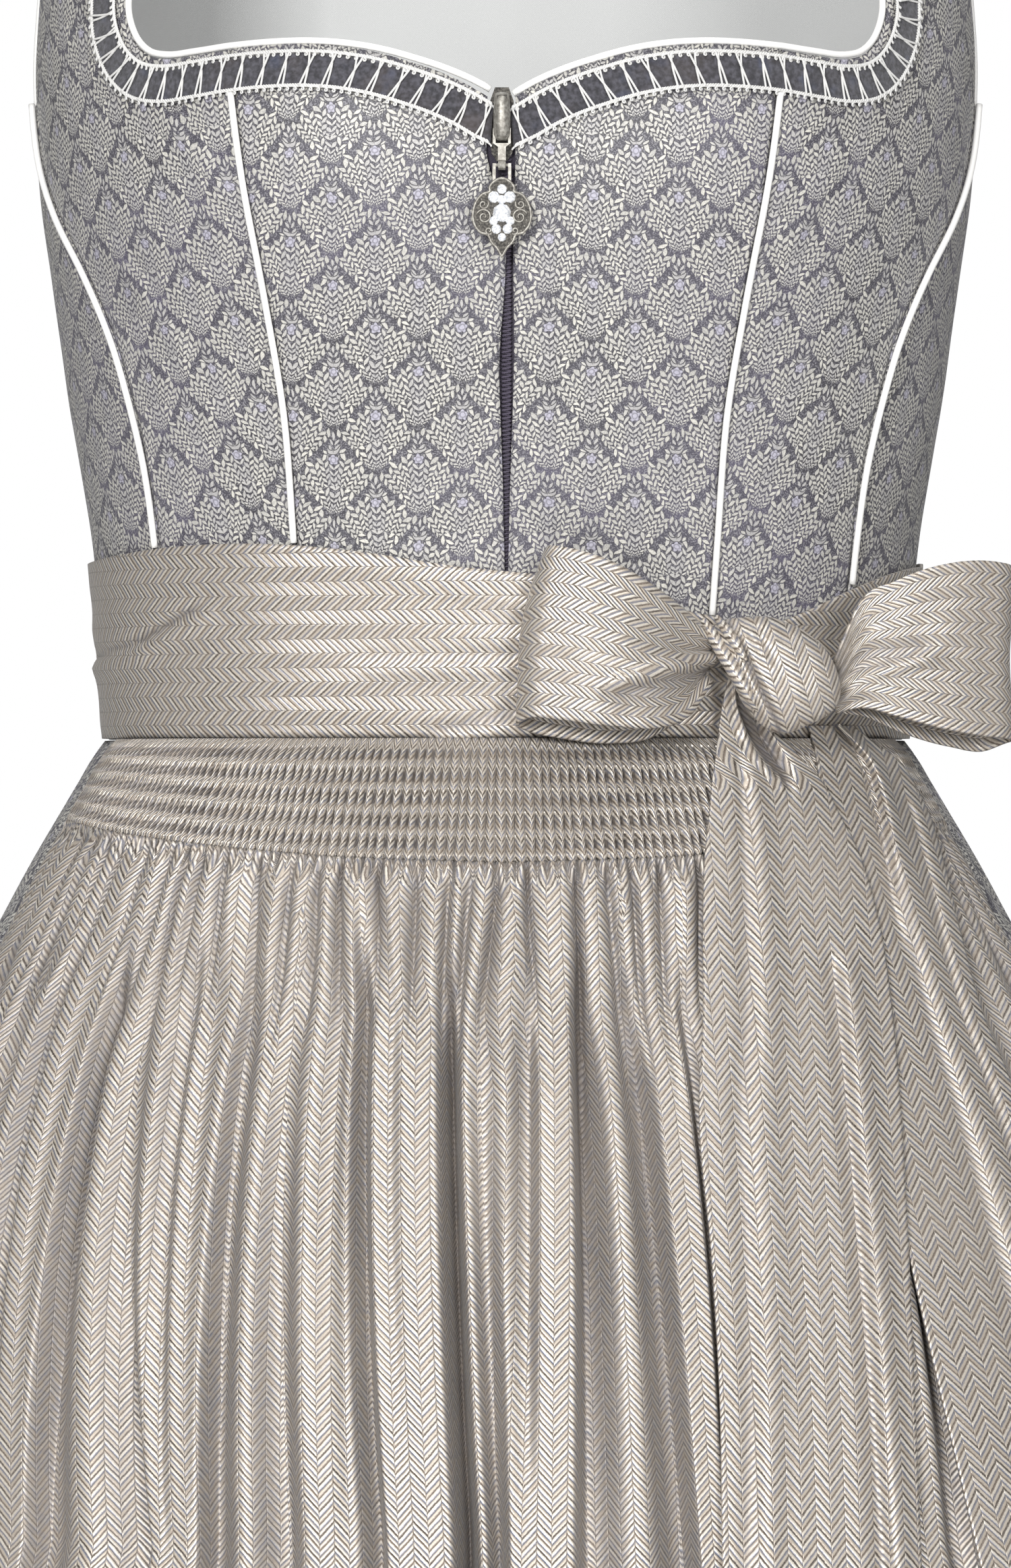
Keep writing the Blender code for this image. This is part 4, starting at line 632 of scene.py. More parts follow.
# Worn metal: two tones and a roughness that vary with fine noise.
def silverPaint(name, light, dark, rough=0.28, grain=900.0, metallic=1.0):
    paint = Paint(name)
    worn = paint.noise(grain, 3.0)
    tint = paint.mix(worn.step(0.35, 0.7), dark, light)
    return paint.finish(tint, rough + paint.noise(900.0) * 0.22, worn, 0.02, Metallic=metallic)


# Cut stone: bright, with pale grey flecks.
def stonePaint(name):
    paint = Paint(name)
    tint = paint.mix(paint.noise(1500.0, 1.0).step(0.4, 0.6), colour(205, 208, 214), colour(255, 255, 255))
    return paint.finish(tint, paint.noise(900.0) * 0.1 + 0.04, Metallic=0.25)


paints = {
    "brocade": brocadePaint("brocade"),
    "herringbone": herringbonePaint("herringboneSatin"),
    "piping": weavePaint("whiteSatin", colour(250, 249, 246), 0.5, 0.3, 0.015),
    "velvet": velvetPaint("greyVelvet"),
    "thread": weavePaint("whiteThread", colour(236, 235, 232), 0.35, 0.6),
    "lining": weavePaint("liningCotton", colour(206, 207, 206), 0.6, 0.8, 0.02),
    "tape": weavePaint("zipTape", colour(58, 52, 66), 0.7, 0.75),
    "silver": silverPaint("oldSilver", colour(176, 173, 165), colour(128, 124, 117), 0.36, 900.0, 0.6),
    "silverDark": silverPaint("oldSilverRecess", colour(98, 94, 87), colour(40, 37, 34), 0.5, 1500.0, 0.3),
    "stone": stonePaint("rhinestone"),
    "coil": weavePaint("zipCoil", colour(74, 66, 84), 0.7, 0.6),
}
print("materials made")


# Bodice: the seams and edges as angles from the front centre, and the panels between them.
bodice = {
    "frontSeam": rows("height angle", (
        (0, 28.8), (60, 29.5), (103, 29.4), (131, 30.6), (164, 32.3), (210.3, 34.2))),
    "sideFrontSeam": rows("height angle", (
        (0, 55), (60, 55.5), (90, 55.8), (108, 57.2), (126, 59.8), (146, 65.2), (165, 72.8),
        (183, 79), (203, 82.5))),
    "backSeam": rows("height angle", ((0, 155.8), (100, 155.4), (200, 154.8), (289, 154.3))),
    "neckCentre": rows("angle height", (
        (1.1, 194.3), (3.4, 197.8), (6.6, 201.6), (10.6, 205.2), (14.4, 208), (19.3, 210.2),
        (23.3, 211), (28.5, 211), (34.2, 210.3))),
    "neckSide": rows("angle height", (
        (34.2, 210.3), (39.2, 209.2), (43.8, 208.7), (46.9, 210.2), (49.2, 214), (50.6, 218.5),
        (51.6, 224), (51.9, 231), (51.9, 245), (51.1, 270), (49.6, 300), (47.6, 330), (45.9, 350),
        (46.3, 362), (51.1, 372), (61.2, 379), (72.4, 382.3), (90, 384))),
    "neckBack": rows("angle height", (
        (154.3, 289), (147.5, 294.5), (141.8, 305), (138.9, 322), (136.6, 350), (134.5, 362),
        (128.9, 372), (118.8, 379), (107.6, 382.3), (90, 384))),
    "neckBackCentre": 285.0,
    "armholeFront": rows("angle height", (
        (82.5, 203), (82.5, 220), (81.5, 237), (79, 260), (74, 290), (71, 320), (74, 345),
        (81, 357), (90, 364))),
    "armholeUnder": rows("share height", ((0, 203), (0.25, 191.5), (0.5, 183.5), (0.75, 179), (1, 177.2))),
    "armholeBack": rows("angle height", (
        (97, 177.2), (101, 178.6), (106, 186), (110, 200), (112.5, 222), (113, 245), (112, 270),
        (110.5, 300), (108, 325), (103, 347), (97, 358), (90, 364))),
    "slot": rows("height left right", (
        (0, 0.2, 0.8), (54, 0.3, 0.9), (80, 0.9, 1.5), (110, 1.9, 2.5), (164, 2.0, 2.6),
        (174, 5.2, 3.0), (200, 5.2, 3.0))),
    "halfGap": 0.15,
    "wall": 1.2,
    "seamSink": 0.7,
    "seamReach": 2.2,
    "ripple": 0.25,
    "leastCloth": 0.31,
    "zipFold": {-1: 9.6, 1: 15.6},
    "creases": rows("fromX fromHeight toX toHeight depth", (
        (-103, 194, -85, 170, 1.3), (-118, 150, -96, 118, 0.7), (104, 176, 90, 150, 0.6),
        (-60, 74, -92, 96, 0.5), (56, 70, 92, 98, 0.6), (-20, 88, -52, 66, 0.4))),
}


# Angles and heights at shares of the length of a rail drawn on the torso.
def along(rail, shares):
    points = torso(rail["angle"], rail["height"])
    lengths = np.concatenate(([0.0], np.cumsum(np.linalg.norm(np.diff(points, axis=0), axis=1))))
    measured = dict(rail, length=lengths)
    at = np.asarray(shares) * lengths[-1]
    return eased(measured, "length", "angle", at), eased(measured, "length", "height", at)


# Shares from 0 to 1 with more of them before a corner's share than after it.
def crowded(share, cornerSteps, otherSteps):
    return np.concatenate((np.linspace(0, share, cornerSteps, endpoint=False),
                           np.linspace(share, 1, otherSteps + 1)))


neckShares, armShares = crowded(0.24, 30, 40), crowded(0.07, 30, 40)
strapShares, seamShares = np.linspace(0, 1, 56), np.linspace(0, 1, 49)


# A patch between two rails: angles go straight across, heights by a power of the share.
def between(firstRail, secondRail, steps, rise):
    share = np.linspace(0, 1, steps + 1)[None, :]
    first = [np.asarray(values)[:, None] for values in firstRail]
    second = [np.asarray(values)[:, None] for values in secondRail]
    return (first[0] * (1 - share) + second[0] * share,
            first[1] + (second[1] - first[1]) * share ** rise)


# Every patch gives a panel's angles and heights on the right side. Only the front centre needs to know its
# side, because the zip's slot lies off the middle: it runs from the slot to the front seam.
def frontCentrePatch(side):
    share = np.linspace(0, 1, 41)[None, :]
    neck = bodice["neckCentre"]
    top = eased(neck, "angle", "height", neck["angle"][0] + share * (neck["angle"][-1] - neck["angle"][0]))
    heights = bodice["halfGap"] + seamShares[:, None] ** 0.9 * (top - bodice["halfGap"])
    slot = eased(bodice["slot"], "height", "left" if side < 0 else "right", heights)
    start = sideAngle(form["torso"], slot, heights)
    return start * (1 - share) + eased(bodice["frontSeam"], "height", "angle", heights) * share, heights


# One side of a panel: up a seam or a level angle to where the neckline's or armhole's edge starts, and then
# along that edge.
def railOf(seam, edge, shares, level=None):
    low = bodice["halfGap"] + seamShares[:-1] * (edge["height"][0] - bodice["halfGap"])
    angles = np.full(len(low), level) if level else eased(seam, "height", "angle", low)
    edgeAngles, edgeHeights = along(edge, shares)
    return np.concatenate((angles, edgeAngles)), np.concatenate((low, edgeHeights))


# The front side panel and its strap, between the two front seams.
def frontSidePatch():
    return between(railOf(bodice["frontSeam"], bodice["neckSide"], neckShares),
                   railOf(bodice["sideFrontSeam"], bodice["armholeFront"], armShares), 32, 0.42)


# The panel under the arm, up to the armhole's lowest stretch.
def sidePatch():
    share = np.linspace(0, 1, 25)[None, :]
    top = eased(bodice["armholeUnder"], "share", "height", share)
    heights = bodice["halfGap"] + seamShares[:, None] * (top - bodice["halfGap"])
    front = eased(bodice["sideFrontSeam"], "height", "angle", heights)
    return front * (1 - share) + form["sideSeam"] * share, heights


# The back side panel and its strap.
def backSidePatch():
    return between(railOf(None, bodice["armholeBack"], strapShares, form["sideSeam"]),
                   railOf(bodice["backSeam"], bodice["neckBack"], strapShares), 28, 2.5)


# The back neckline's height, a parabola between the two back seams.
def backCentreTop(share):
    rise = bodice["backSeam"]["height"][-1] - bodice["neckBackCentre"]
    return bodice["neckBackCentre"] + rise * share ** 2


# The back centre panel, from one back seam to the other.
def backCentrePatch():
    share = np.linspace(-1, 1, 41)[None, :]
    heights = bodice["halfGap"] + seamShares[:, None] * (backCentreTop(share) - bodice["halfGap"])
    seam = eased(bodice["backSeam"], "height", "angle", heights)
    return 180.0 - (180.0 - seam) * -share, heights


# A panel lies on the torso, sinks a little at its seams, and has soft drag lines and named creases.
# Its cloth is measured from a grain line between two angles and turned by a tilt.
def addPanel(name, node, patch, side, grain, seams, tilt=0.0):
    angles, heights = patch
    share = np.linspace(0, 1, angles.shape[1])[None, :]
    span = np.linalg.norm(np.diff(torso(angles, heights), axis=1), axis=-1).sum(axis=1)[:, None]
    sink = sum(np.exp(-np.abs(share - edge) * span / bodice["seamReach"]) for edge in seams)
    grainAngle = side * (grain[0] + (grain[1] - grain[0]) * heights / 200)
    place = torsoCloth.place(side * angles, heights, grainAngle)
    ripple = wander(place[..., 0] / 16, place[..., 1] / 11, side + len(name)) * bodice["ripple"]
    out = -bodice["seamSink"] * sink + ripple * (0.4 + sink)
    if name.startswith("bodiceFrontCentre"):
        past = bodice["zipFold"][side] - torso(angles, heights)[..., 0]
        out = out - 0.7 * np.exp(-np.abs(past) / 0.5) + 0.35 * smooth(past / 1.2)
    out = out + creases(side, angles, heights)
    turn = math.radians(tilt * side)
    place = np.stack((place[..., 0] * math.cos(turn) - place[..., 1] * math.sin(turn),
                      place[..., 0] * math.sin(turn) + place[..., 1] * math.cos(turn)), axis=-1)
    part = gridPart(lifted(torso, side * angles, heights, out), place, flip=side < 0)
    piece = addPiece(name, part, paints["brocade"], [node], wall=bodice["wall"])
    size = (float(span.max()) / 1000, float(heights.max() - heights.min()) / 1000)
    area = float(sum(face.area for face in piece.data.polygons))
    max(bodice["leastCloth"] * size[0] * size[1], min(area, size[0] * size[1]))


# Distance from points to a straight line between two places on the front, and the share along it.
def toLine(x, height, start, end):
    run = np.array(end, float) - np.array(start, float)
    length = np.hypot(*run)
    share = ((x - start[0]) * run[0] + (height - start[1]) * run[1]) / length ** 2
    return ((x - start[0]) * run[1] - (height - start[1]) * run[0]) / length, share


# Creases: a ridge beside a trough along each line, fading out past its two ends.
def creases(side, angles, heights):
    points = torso(side * angles, heights)
    x, height = points[..., 0], points[..., 2]
    total = np.zeros_like(x)
    for fromX, fromHeight, toX, toHeight, depth in zip(*bodice["creases"].values()):
        gap, share = toLine(x, height, (fromX, fromHeight), (toX, toHeight))
        body = smooth((share + 0.25) * 3) * smooth((1.25 - share) * 3)
        total += depth * body * (hump(gap, 2.2, 3.0) - hump(gap, -1.2, 1.6)) * (points[..., 1] < 0)
    return total


for word, side in (("Left", -1), ("Right", 1)):
    for name, patch, grain, seams, tilt in (
            ("FrontCentre", frontCentrePatch(side), (0, 0), (1,), 0),
            ("FrontSide", frontSidePatch(), (42, 52), (0, 1), 5),
            ("Side", sidePatch(), (76, 90), (0, 1), -8),
            ("BackSide", backSidePatch(), (126, 128), (0, 1), 3)):
        node = "bodice" + "".join("_" + c.lower() if c.isupper() else c for c in name + word)
        addPanel("bodice" + name + word, node, patch, side, grain, seams, tilt)
addPanel("bodiceBackCentre", "bodice_back_centre", backCentrePatch(), 1, (180, 180), (0, 1))
print("bodice made")


# Lining: pale cotton inside the back, with two pressed seams.
lining = {
    "bottom": 2.0,
    "top": rows("angle height", (
        (97, 175), (106, 184), (112, 222), (120, 268), (133, 283), (150, 285.5), (180, 283))),
    "out": -3.0,
    "wall": 0.6,
    "seams": (-64.0, 64.0),
    "seamRise": 0.5,
    "seamWidth": 1.2,
    "flat": (0.42, 0.284),
}


# The back lining lies inside the back panels, from one side seam round to the other.
def addLining():
    angles = np.linspace(form["sideSeam"], 360.0 - form["sideSeam"], 121)[None, :]
    top = eased(lining["top"], "angle", "height", np.where(angles > 180, 360 - angles, angles))
    heights = lining["bottom"] + np.linspace(0, 1, 61)[:, None] * (top - lining["bottom"])
    place = torsoCloth.place(angles, heights, 180.0)
    seam = sum(hump(place[..., 0], at, lining["seamWidth"]) for at in lining["seams"])
    out = lining["out"] - 0.35 * wander(place[..., 0] / 30, place[..., 1] / 22, 4) + lining["seamRise"] * seam
    part = gridPart(lifted(torso, angles, heights, out), place)
    piece = addPiece("backLining", part, paints["lining"], ["bodice_back_lining"],
                     wall=lining["wall"])


addLining()
print("lining made")


# Walks sideways over the torso from a path, staying on the surface, in short equal steps.
def sidestep(angles, heights, turn, reach, steps):
    around, upward = stepsOf(torso, angles, heights)
    tangent = np.gradient(torso(angles, heights), axis=0)
    sideways = turn * np.cross(np.cross(around, upward), tangent)
    sideways /= np.linalg.norm(sideways, axis=-1, keepdims=True)
    walked = [(angles, heights)]
    for _ in range(steps):
        around, upward = stepsOf(torso, angles, heights)
        aa, au, uu = (np.sum(first * second, axis=-1) for first, second in
                      ((around, around), (around, upward), (upward, upward)))
        toAround = np.sum(around * sideways, axis=-1)
        toUpward = np.sum(upward * sideways, axis=-1)
        scale = reach / steps / (aa * uu - au * au)
        angles = angles + (uu * toAround - au * toUpward) * scale
        heights = heights + (aa * toUpward - au * toAround) * scale
        walked.append((angles, heights))
    return np.array([step[0] for step in walked]), np.array([step[1] for step in walked])


# Piping: satin over cord, a tube beside each free edge and on each seam.
piping = {
    "radius": 1.05,
    "edgeReach": 1.3,
    "seamOut": 1.1,
    "wall": 1.6,
    "aboveBelt": 0.6,
    "backBelt": 56.7,
    "tops": {"FrontSeam": 196.4, "SideSeam": 201.5, "BackSeam": 287.5},
}

# The belt's upper edge across the front, where the seams' piping starts.
beltTop = rows("x height", (
    (-134, 55.4), (-117, 58), (-101, 59.8), (-70, 60.2), (-45, 57.8), (-16, 53.2), (20, 49),
    (60, 38.5), (83, 36), (90, 39), (109, 48.5), (120, 53), (134, 56.7)))


# The neckline's edge, right round from the slot's right side to its left: one half, then its mirror image.
def neckEdge():
    neck = bodice["neckCentre"]
    frontAngle = np.linspace(neck["angle"][0], neck["angle"][-1], 40)
    sideAngles, sideHeights = along(bodice["neckSide"], neckShares)
    backAngles, backHeights = along(bodice["neckBack"], strapShares)
    share = np.linspace(-1, 0, 20)
    centre = 180.0 + share * (180.0 - bodice["backSeam"]["angle"][-1])
    angles = np.concatenate((frontAngle[:-1], sideAngles[:-1], backAngles[::-1], centre[1:]))
    heights = np.concatenate((eased(neck, "angle", "height", frontAngle)[:-1], sideHeights[:-1],
                              backHeights[::-1], backCentreTop(share)[1:]))
    leftEnd = sideAngle(form["torso"], bodice["slot"]["left"][-1], heights[0])
    mirrored = np.flatnonzero(angles[1:-1] > leftEnd)[::-1] + 1
    endHeight = eased(neck, "angle", "height", leftEnd)
    return (np.concatenate((angles, 360.0 - angles[mirrored], [360.0 - leftEnd])),
            np.concatenate((heights, heights[mirrored], [endHeight])))


# The armhole's closed edge: down the front, along the side panel's top and up the back.
def armholeEdge():
    front = along(bodice["armholeFront"], armShares)
    under = sidePatch()
    back = along(bodice["armholeBack"], strapShares)
    return tuple(np.concatenate((low[-1][:-1], rear, ahead[::-1][1:-1]))
                 for low, rear, ahead in zip(under, back, front))


# A path a little inside an edge and in the middle of the cloth's thickness.
def edgePath(angles, heights):
    walkedAngles, walkedHeights = sidestep(angles, heights, 1.0, piping["edgeReach"], 1)
    return lifted(torso, walkedAngles[-1], walkedHeights[-1], -piping["wall"] / 2)


# A path up a seam, just proud of the cloth.
def seamPath(seam, bottom, top, side):
    heights = np.linspace(bottom, top, 90)
    return lifted(torso, side * eased(seam, "height", "angle", heights), heights, piping["seamOut"])


# Piping follows the neckline, both armholes and the six seams as round cords.
def addPiping():
    seams = (("FrontSeam", "front_seam", bodice["frontSeam"]),
             ("SideSeam", "side_seam", bodice["sideFrontSeam"]),
             ("BackSeam", "back_seam", bodice["backSeam"]))
    paths = [("pipingNeck", "piping_neck", edgePath(*neckEdge()), False)]
    for word, side in (("Left", -1), ("Right", 1)):
        armhole = edgePath(*armholeEdge()) * np.array((side, 1, 1))
        paths.append(("pipingArmhole" + word, "piping_armhole_" + word.lower(), armhole, True))
        for name, node, seam in seams:
            x = side * torso(eased(seam, "height", "angle", 50.0), 50.0)[0]
            belted = piping["backBelt"] if name == "BackSeam" else float(eased(beltTop, "x", "height", x))
            path = seamPath(seam, belted + piping["aboveBelt"], piping["tops"][name], side)
            paths.append((f"piping{name}{word}", f"piping_{node}_{word.lower()}", path, False))
    for name, node, path, closed in paths:
        part = tubePart(path, piping["radius"], 12, loops=closed)
        addPiece(name, part, paints["piping"], [node], weld=True)


addPiping()
print("piping made")


# Velvet ribbon and ladder lace, measured down from the neckline's edge.
neckTrim = {
    "velvetFromEdge": 3.7,
    "velvetWidth": 10.0,
    "laceFromEdge": 2.4,
    "border": 1.8,
    "window": 9.0,
    "pitch": 7.1,
    "start": 3.1,
    "end": 10.0,
    "pullCentre": -1.1,
    "startSlope": math.tan(math.radians(25.0)),
    "samples": 600,
    "reach": 18.0,
    "steps": 9,
    "ribbonOut": 1.15,
    "threadOut": 1.75,
    "threadRadius": 0.35,
    "loopPitch": 2.5,
    "loopRadius": 0.6,
    "strandPitch": 1.7,
    "rungApart": (1.8, 0.9),
    "flatWidth": 0.0105,
}


# Places on one side's trim: lengths along the line through the lace's middle, and distances below the edge.
# Lines parallel to the edge are walked out over the torso in equal steps, and places are read between them.
class NeckTrim:
    def __init__(self, side):
        self.side = side
        rail = {name: np.concatenate((bodice["neckCentre"][name][:-1], bodice["neckSide"][name]))
                for name in ("angle", "height")}
        angles, heights = along(rail, np.linspace(0, 1, neckTrim["samples"]))
        self.angles, self.heights = sidestep(angles, heights, -1.0, neckTrim["reach"], neckTrim["steps"])
        self.middle = neckTrim["laceFromEdge"] + neckTrim["border"] + neckTrim["window"] / 2
        line = torso(*self.walk(np.arange(neckTrim["samples"]), self.middle))
        wanted = neckTrim["start"] + side * neckTrim["pullCentre"]
        start = np.argmax(line[:, 0] > wanted)
        steps = np.linalg.norm(np.diff(line, axis=0), axis=1)
        self.lengths = np.concatenate(([0.0], np.cumsum(steps)))
        self.lengths += max(line[start, 0] - wanted, 0.0) * 1.1 - self.lengths[start]
        self.length = self.lengths[-1] - neckTrim["end"]

    # The angle and height at a sample of the edge and a distance below it.
    def walk(self, sample, below):
        sample, below = np.broadcast_arrays(np.asarray(sample, float), np.asarray(below, float))
        step = np.clip(below / neckTrim["reach"] * neckTrim["steps"], 0, neckTrim["steps"] - 1e-6)
        low, part = step.astype(int), step % 1
        first, rest = sample.astype(int), sample % 1
        after = np.minimum(first + 1, neckTrim["samples"] - 1)
        return tuple((values[low, first] * (1 - rest) + values[low, after] * rest) * (1 - part)
                     + (values[low + 1, first] * (1 - rest) + values[low + 1, after] * rest) * part
                     for values in (self.angles, self.heights))

    # Points on the trim. The first rungs lean, and before the start the trim runs straight on to the zip.
    def points(self, at, below, out):
        at, below = np.broadcast_arrays(np.asarray(at, float), np.asarray(below, float))
        fade = np.clip(1 - at / (3 * neckTrim["pitch"]), 0, 1)
        at = at - neckTrim["startSlope"] * (below - self.middle) * fade
        sample = np.interp(at, self.lengths, np.arange(neckTrim["samples"]))
        angle, height = self.walk(sample, below)
        before = np.minimum(at - self.lengths[0], 0.0)
        height = height + before * 0.42
        angle = angle + degreesOf(torso, angle, height, before * 0.91)
        return lifted(torso, self.side * angle, height, out)


# Border threads: a circle rolling along the ribbon, so that each turn makes a round picot, and two waved
# strands inside it that cross each other.
def borderThreads(trim, below, outward):
    at = np.linspace(0.6, trim.length - 0.6, int(trim.length / neckTrim["loopPitch"] * 22))
    turn = at / neckTrim["loopPitch"] * 2 * math.pi
    picot = below + outward * neckTrim["loopRadius"] * (0.6 - np.cos(turn + math.pi))
    loops = trim.points(at - 0.95 * np.sin(turn), picot, neckTrim["threadOut"] + 0.2 * np.sin(turn))
    parts = [tubePart(loops, neckTrim["threadRadius"] * 0.85, 5)]
    for phase in (0.0, math.pi):
        wave = at / neckTrim["strandPitch"] * 2 * math.pi + phase
        strand = trim.points(at, below - outward * (0.5 + 0.3 * np.sin(wave)),
                             neckTrim["threadOut"] - 0.05 + 0.2 * np.cos(wave))
        parts.append(tubePart(strand[::2], neckTrim["threadRadius"] * 0.95, 5))
    return parts


# Ladder threads: at each rung one nearly upright, and one that slants across it to the centre side.
def ladderThreads(trim):
    cells = round((trim.length - 3.0) / neckTrim["pitch"])
    bars = np.linspace(2.6, trim.length - 0.8, cells + 1)
    share = np.linspace(0, 1, 14)[None, :]
    top = neckTrim["laceFromEdge"] + neckTrim["border"] * 0.5
    below = top + share * (neckTrim["window"] + neckTrim["border"] * 0.9)
    apart = np.where(np.arange(cells + 1) % 2 == 0, *neckTrim["rungApart"])[:, None]
    bend = 0.3 * np.sin(share * math.pi * 1.3)
    upright = bars[:, None] + 0.3 * share - bend
    slanted = bars[:, None] - apart + (apart + 2.4) * share ** 1.25 + bend * 0.6
    paths = [trim.points(upright, below, neckTrim["threadOut"]),
             trim.points(slanted, below, neckTrim["threadOut"] + 0.25)]
    return [tubePart(np.concatenate(paths), neckTrim["threadRadius"], 6)]


# Velvet, ladder lace and borders on both sides of the front neckline.
def addNeckTrim():
    across = np.linspace(0, 1, 13)[:, None]
    for word, side in (("Left", -1), ("Right", 1)):
        trim = NeckTrim(side)
        at = np.linspace(0, trim.length, 220)[None, :]
        below = neckTrim["velvetFromEdge"] + across * neckTrim["velvetWidth"]
        rim = 0.25 * hump(across, 0.0, 0.1) + 0.25 * hump(across, 1.0, 0.1)
        out = neckTrim["ribbonOut"] + rim + 0.12 * wander(at / 4, below / 3, 2)
        cloth = np.stack(np.broadcast_arrays(below, at), axis=-1)
        part = gridPart(trim.points(at, below, out), cloth, flip=side > 0)
        ribbon = addPiece("neckVelvet" + word, part, paints["velvet"],
                          ["neck_velvet_" + word.lower()], wall=0.8)
        upper = neckTrim["laceFromEdge"] + neckTrim["border"] / 2
        lower = upper + neckTrim["border"] + neckTrim["window"]
        parts = borderThreads(trim, upper, 1.0) + borderThreads(trim, lower, 1.0) + ladderThreads(trim)
        addPiece("neckLace" + word, joined(parts), paints["thread"],
                 ["neck_lace_" + word.lower()], weld=True)


addNeckTrim()
print("neck trim made")


# Belt: a satin ribbon round the waist with a few lying ridges and creases.
belt = {
    "bottom": 0.6,
    "out": 2.2,
    "crown": 0.5,
    "wall": 1.2,
    "ridges": rows("level rise", ((0.1, 0.5), (0.36, 0.45), (0.62, 0.55), (0.88, 0.4))),
    "ridgeWidth": 0.075,
    "creases": rows("fromX fromHeight toX toHeight depth width", (
        (-130, 25, -112, 30, 1.3, 3), (-112, 30, -93, 40, 1.5, 3), (-22, 1, 6, 7, 1.4, 3.5),
        (-42, 24, 4, 24, 0.9, 3), (-100, 12, -40, 20, 0.35, 5), (96, 30, 128, 22, 0.8, 4),
        (20, 12, 58, 20, 0.5, 3))),
    "flat": (0.72, 0.062),
}


# The belt's surface: the torso moved out, with ridges that drift along it and creases on the front.
def addBelt():
    angles = np.linspace(-180, 180, 289)[None, :]
    x = torso(angles, 30.0)[..., 0]
    sideTop = np.where(x < 0, beltTop["height"][0], beltTop["height"][-1])
    front = smooth((np.cos(np.radians(angles)) + 0.02) * 12)
    top = eased(beltTop, "x", "height", x) * front + sideTop * (1 - front)
    share = np.linspace(0, 1, 33)[:, None]
    heights = belt["bottom"] + share * (top - belt["bottom"])
    out = belt["out"] + belt["crown"] * np.sin(share * math.pi)
    drift = share + 0.05 * np.sin(x / 33 + 1.0) + 0.03 * np.sin(x / 13)
    for level, rise in zip(*belt["ridges"].values()):
        out = out + rise * hump(drift, level, belt["ridgeWidth"]) * (0.75 + 0.4 * np.sin(x / 41 + level * 9))
    tuck = np.zeros(out.shape)
    for fromX, fromHeight, toX, toHeight, depth, width in zip(*belt["creases"].values()):
        gap, run = toLine(x, heights, (fromX, fromHeight), (toX, toHeight))
        body = smooth((run + 0.3) * 2.5) * smooth((1.3 - run) * 2.5) * (np.cos(np.radians(angles)) > 0)
        out = out + depth * body * (hump(gap, width * 0.6, width) - hump(gap, -width * 0.35, width * 0.6))
        # Painted shade in the trough beside each crease on the front.
        tuck = np.maximum(tuck, 0.5 * depth * body * hump(gap, -width * 0.4, width * 0.6))
    out = out + 0.3 * wander(x / 28, heights / 14, 5)
    place = torsoCloth.place(angles, heights)
    part = gridPart(lifted(torso, angles, heights, out), place[..., ::-1], tuck, wraps=True)
    piece = addPiece("apronBelt", part, paints["herringbone"], ["apron_belt"],
                     wall=belt["wall"])


addBelt()
print("belt made")


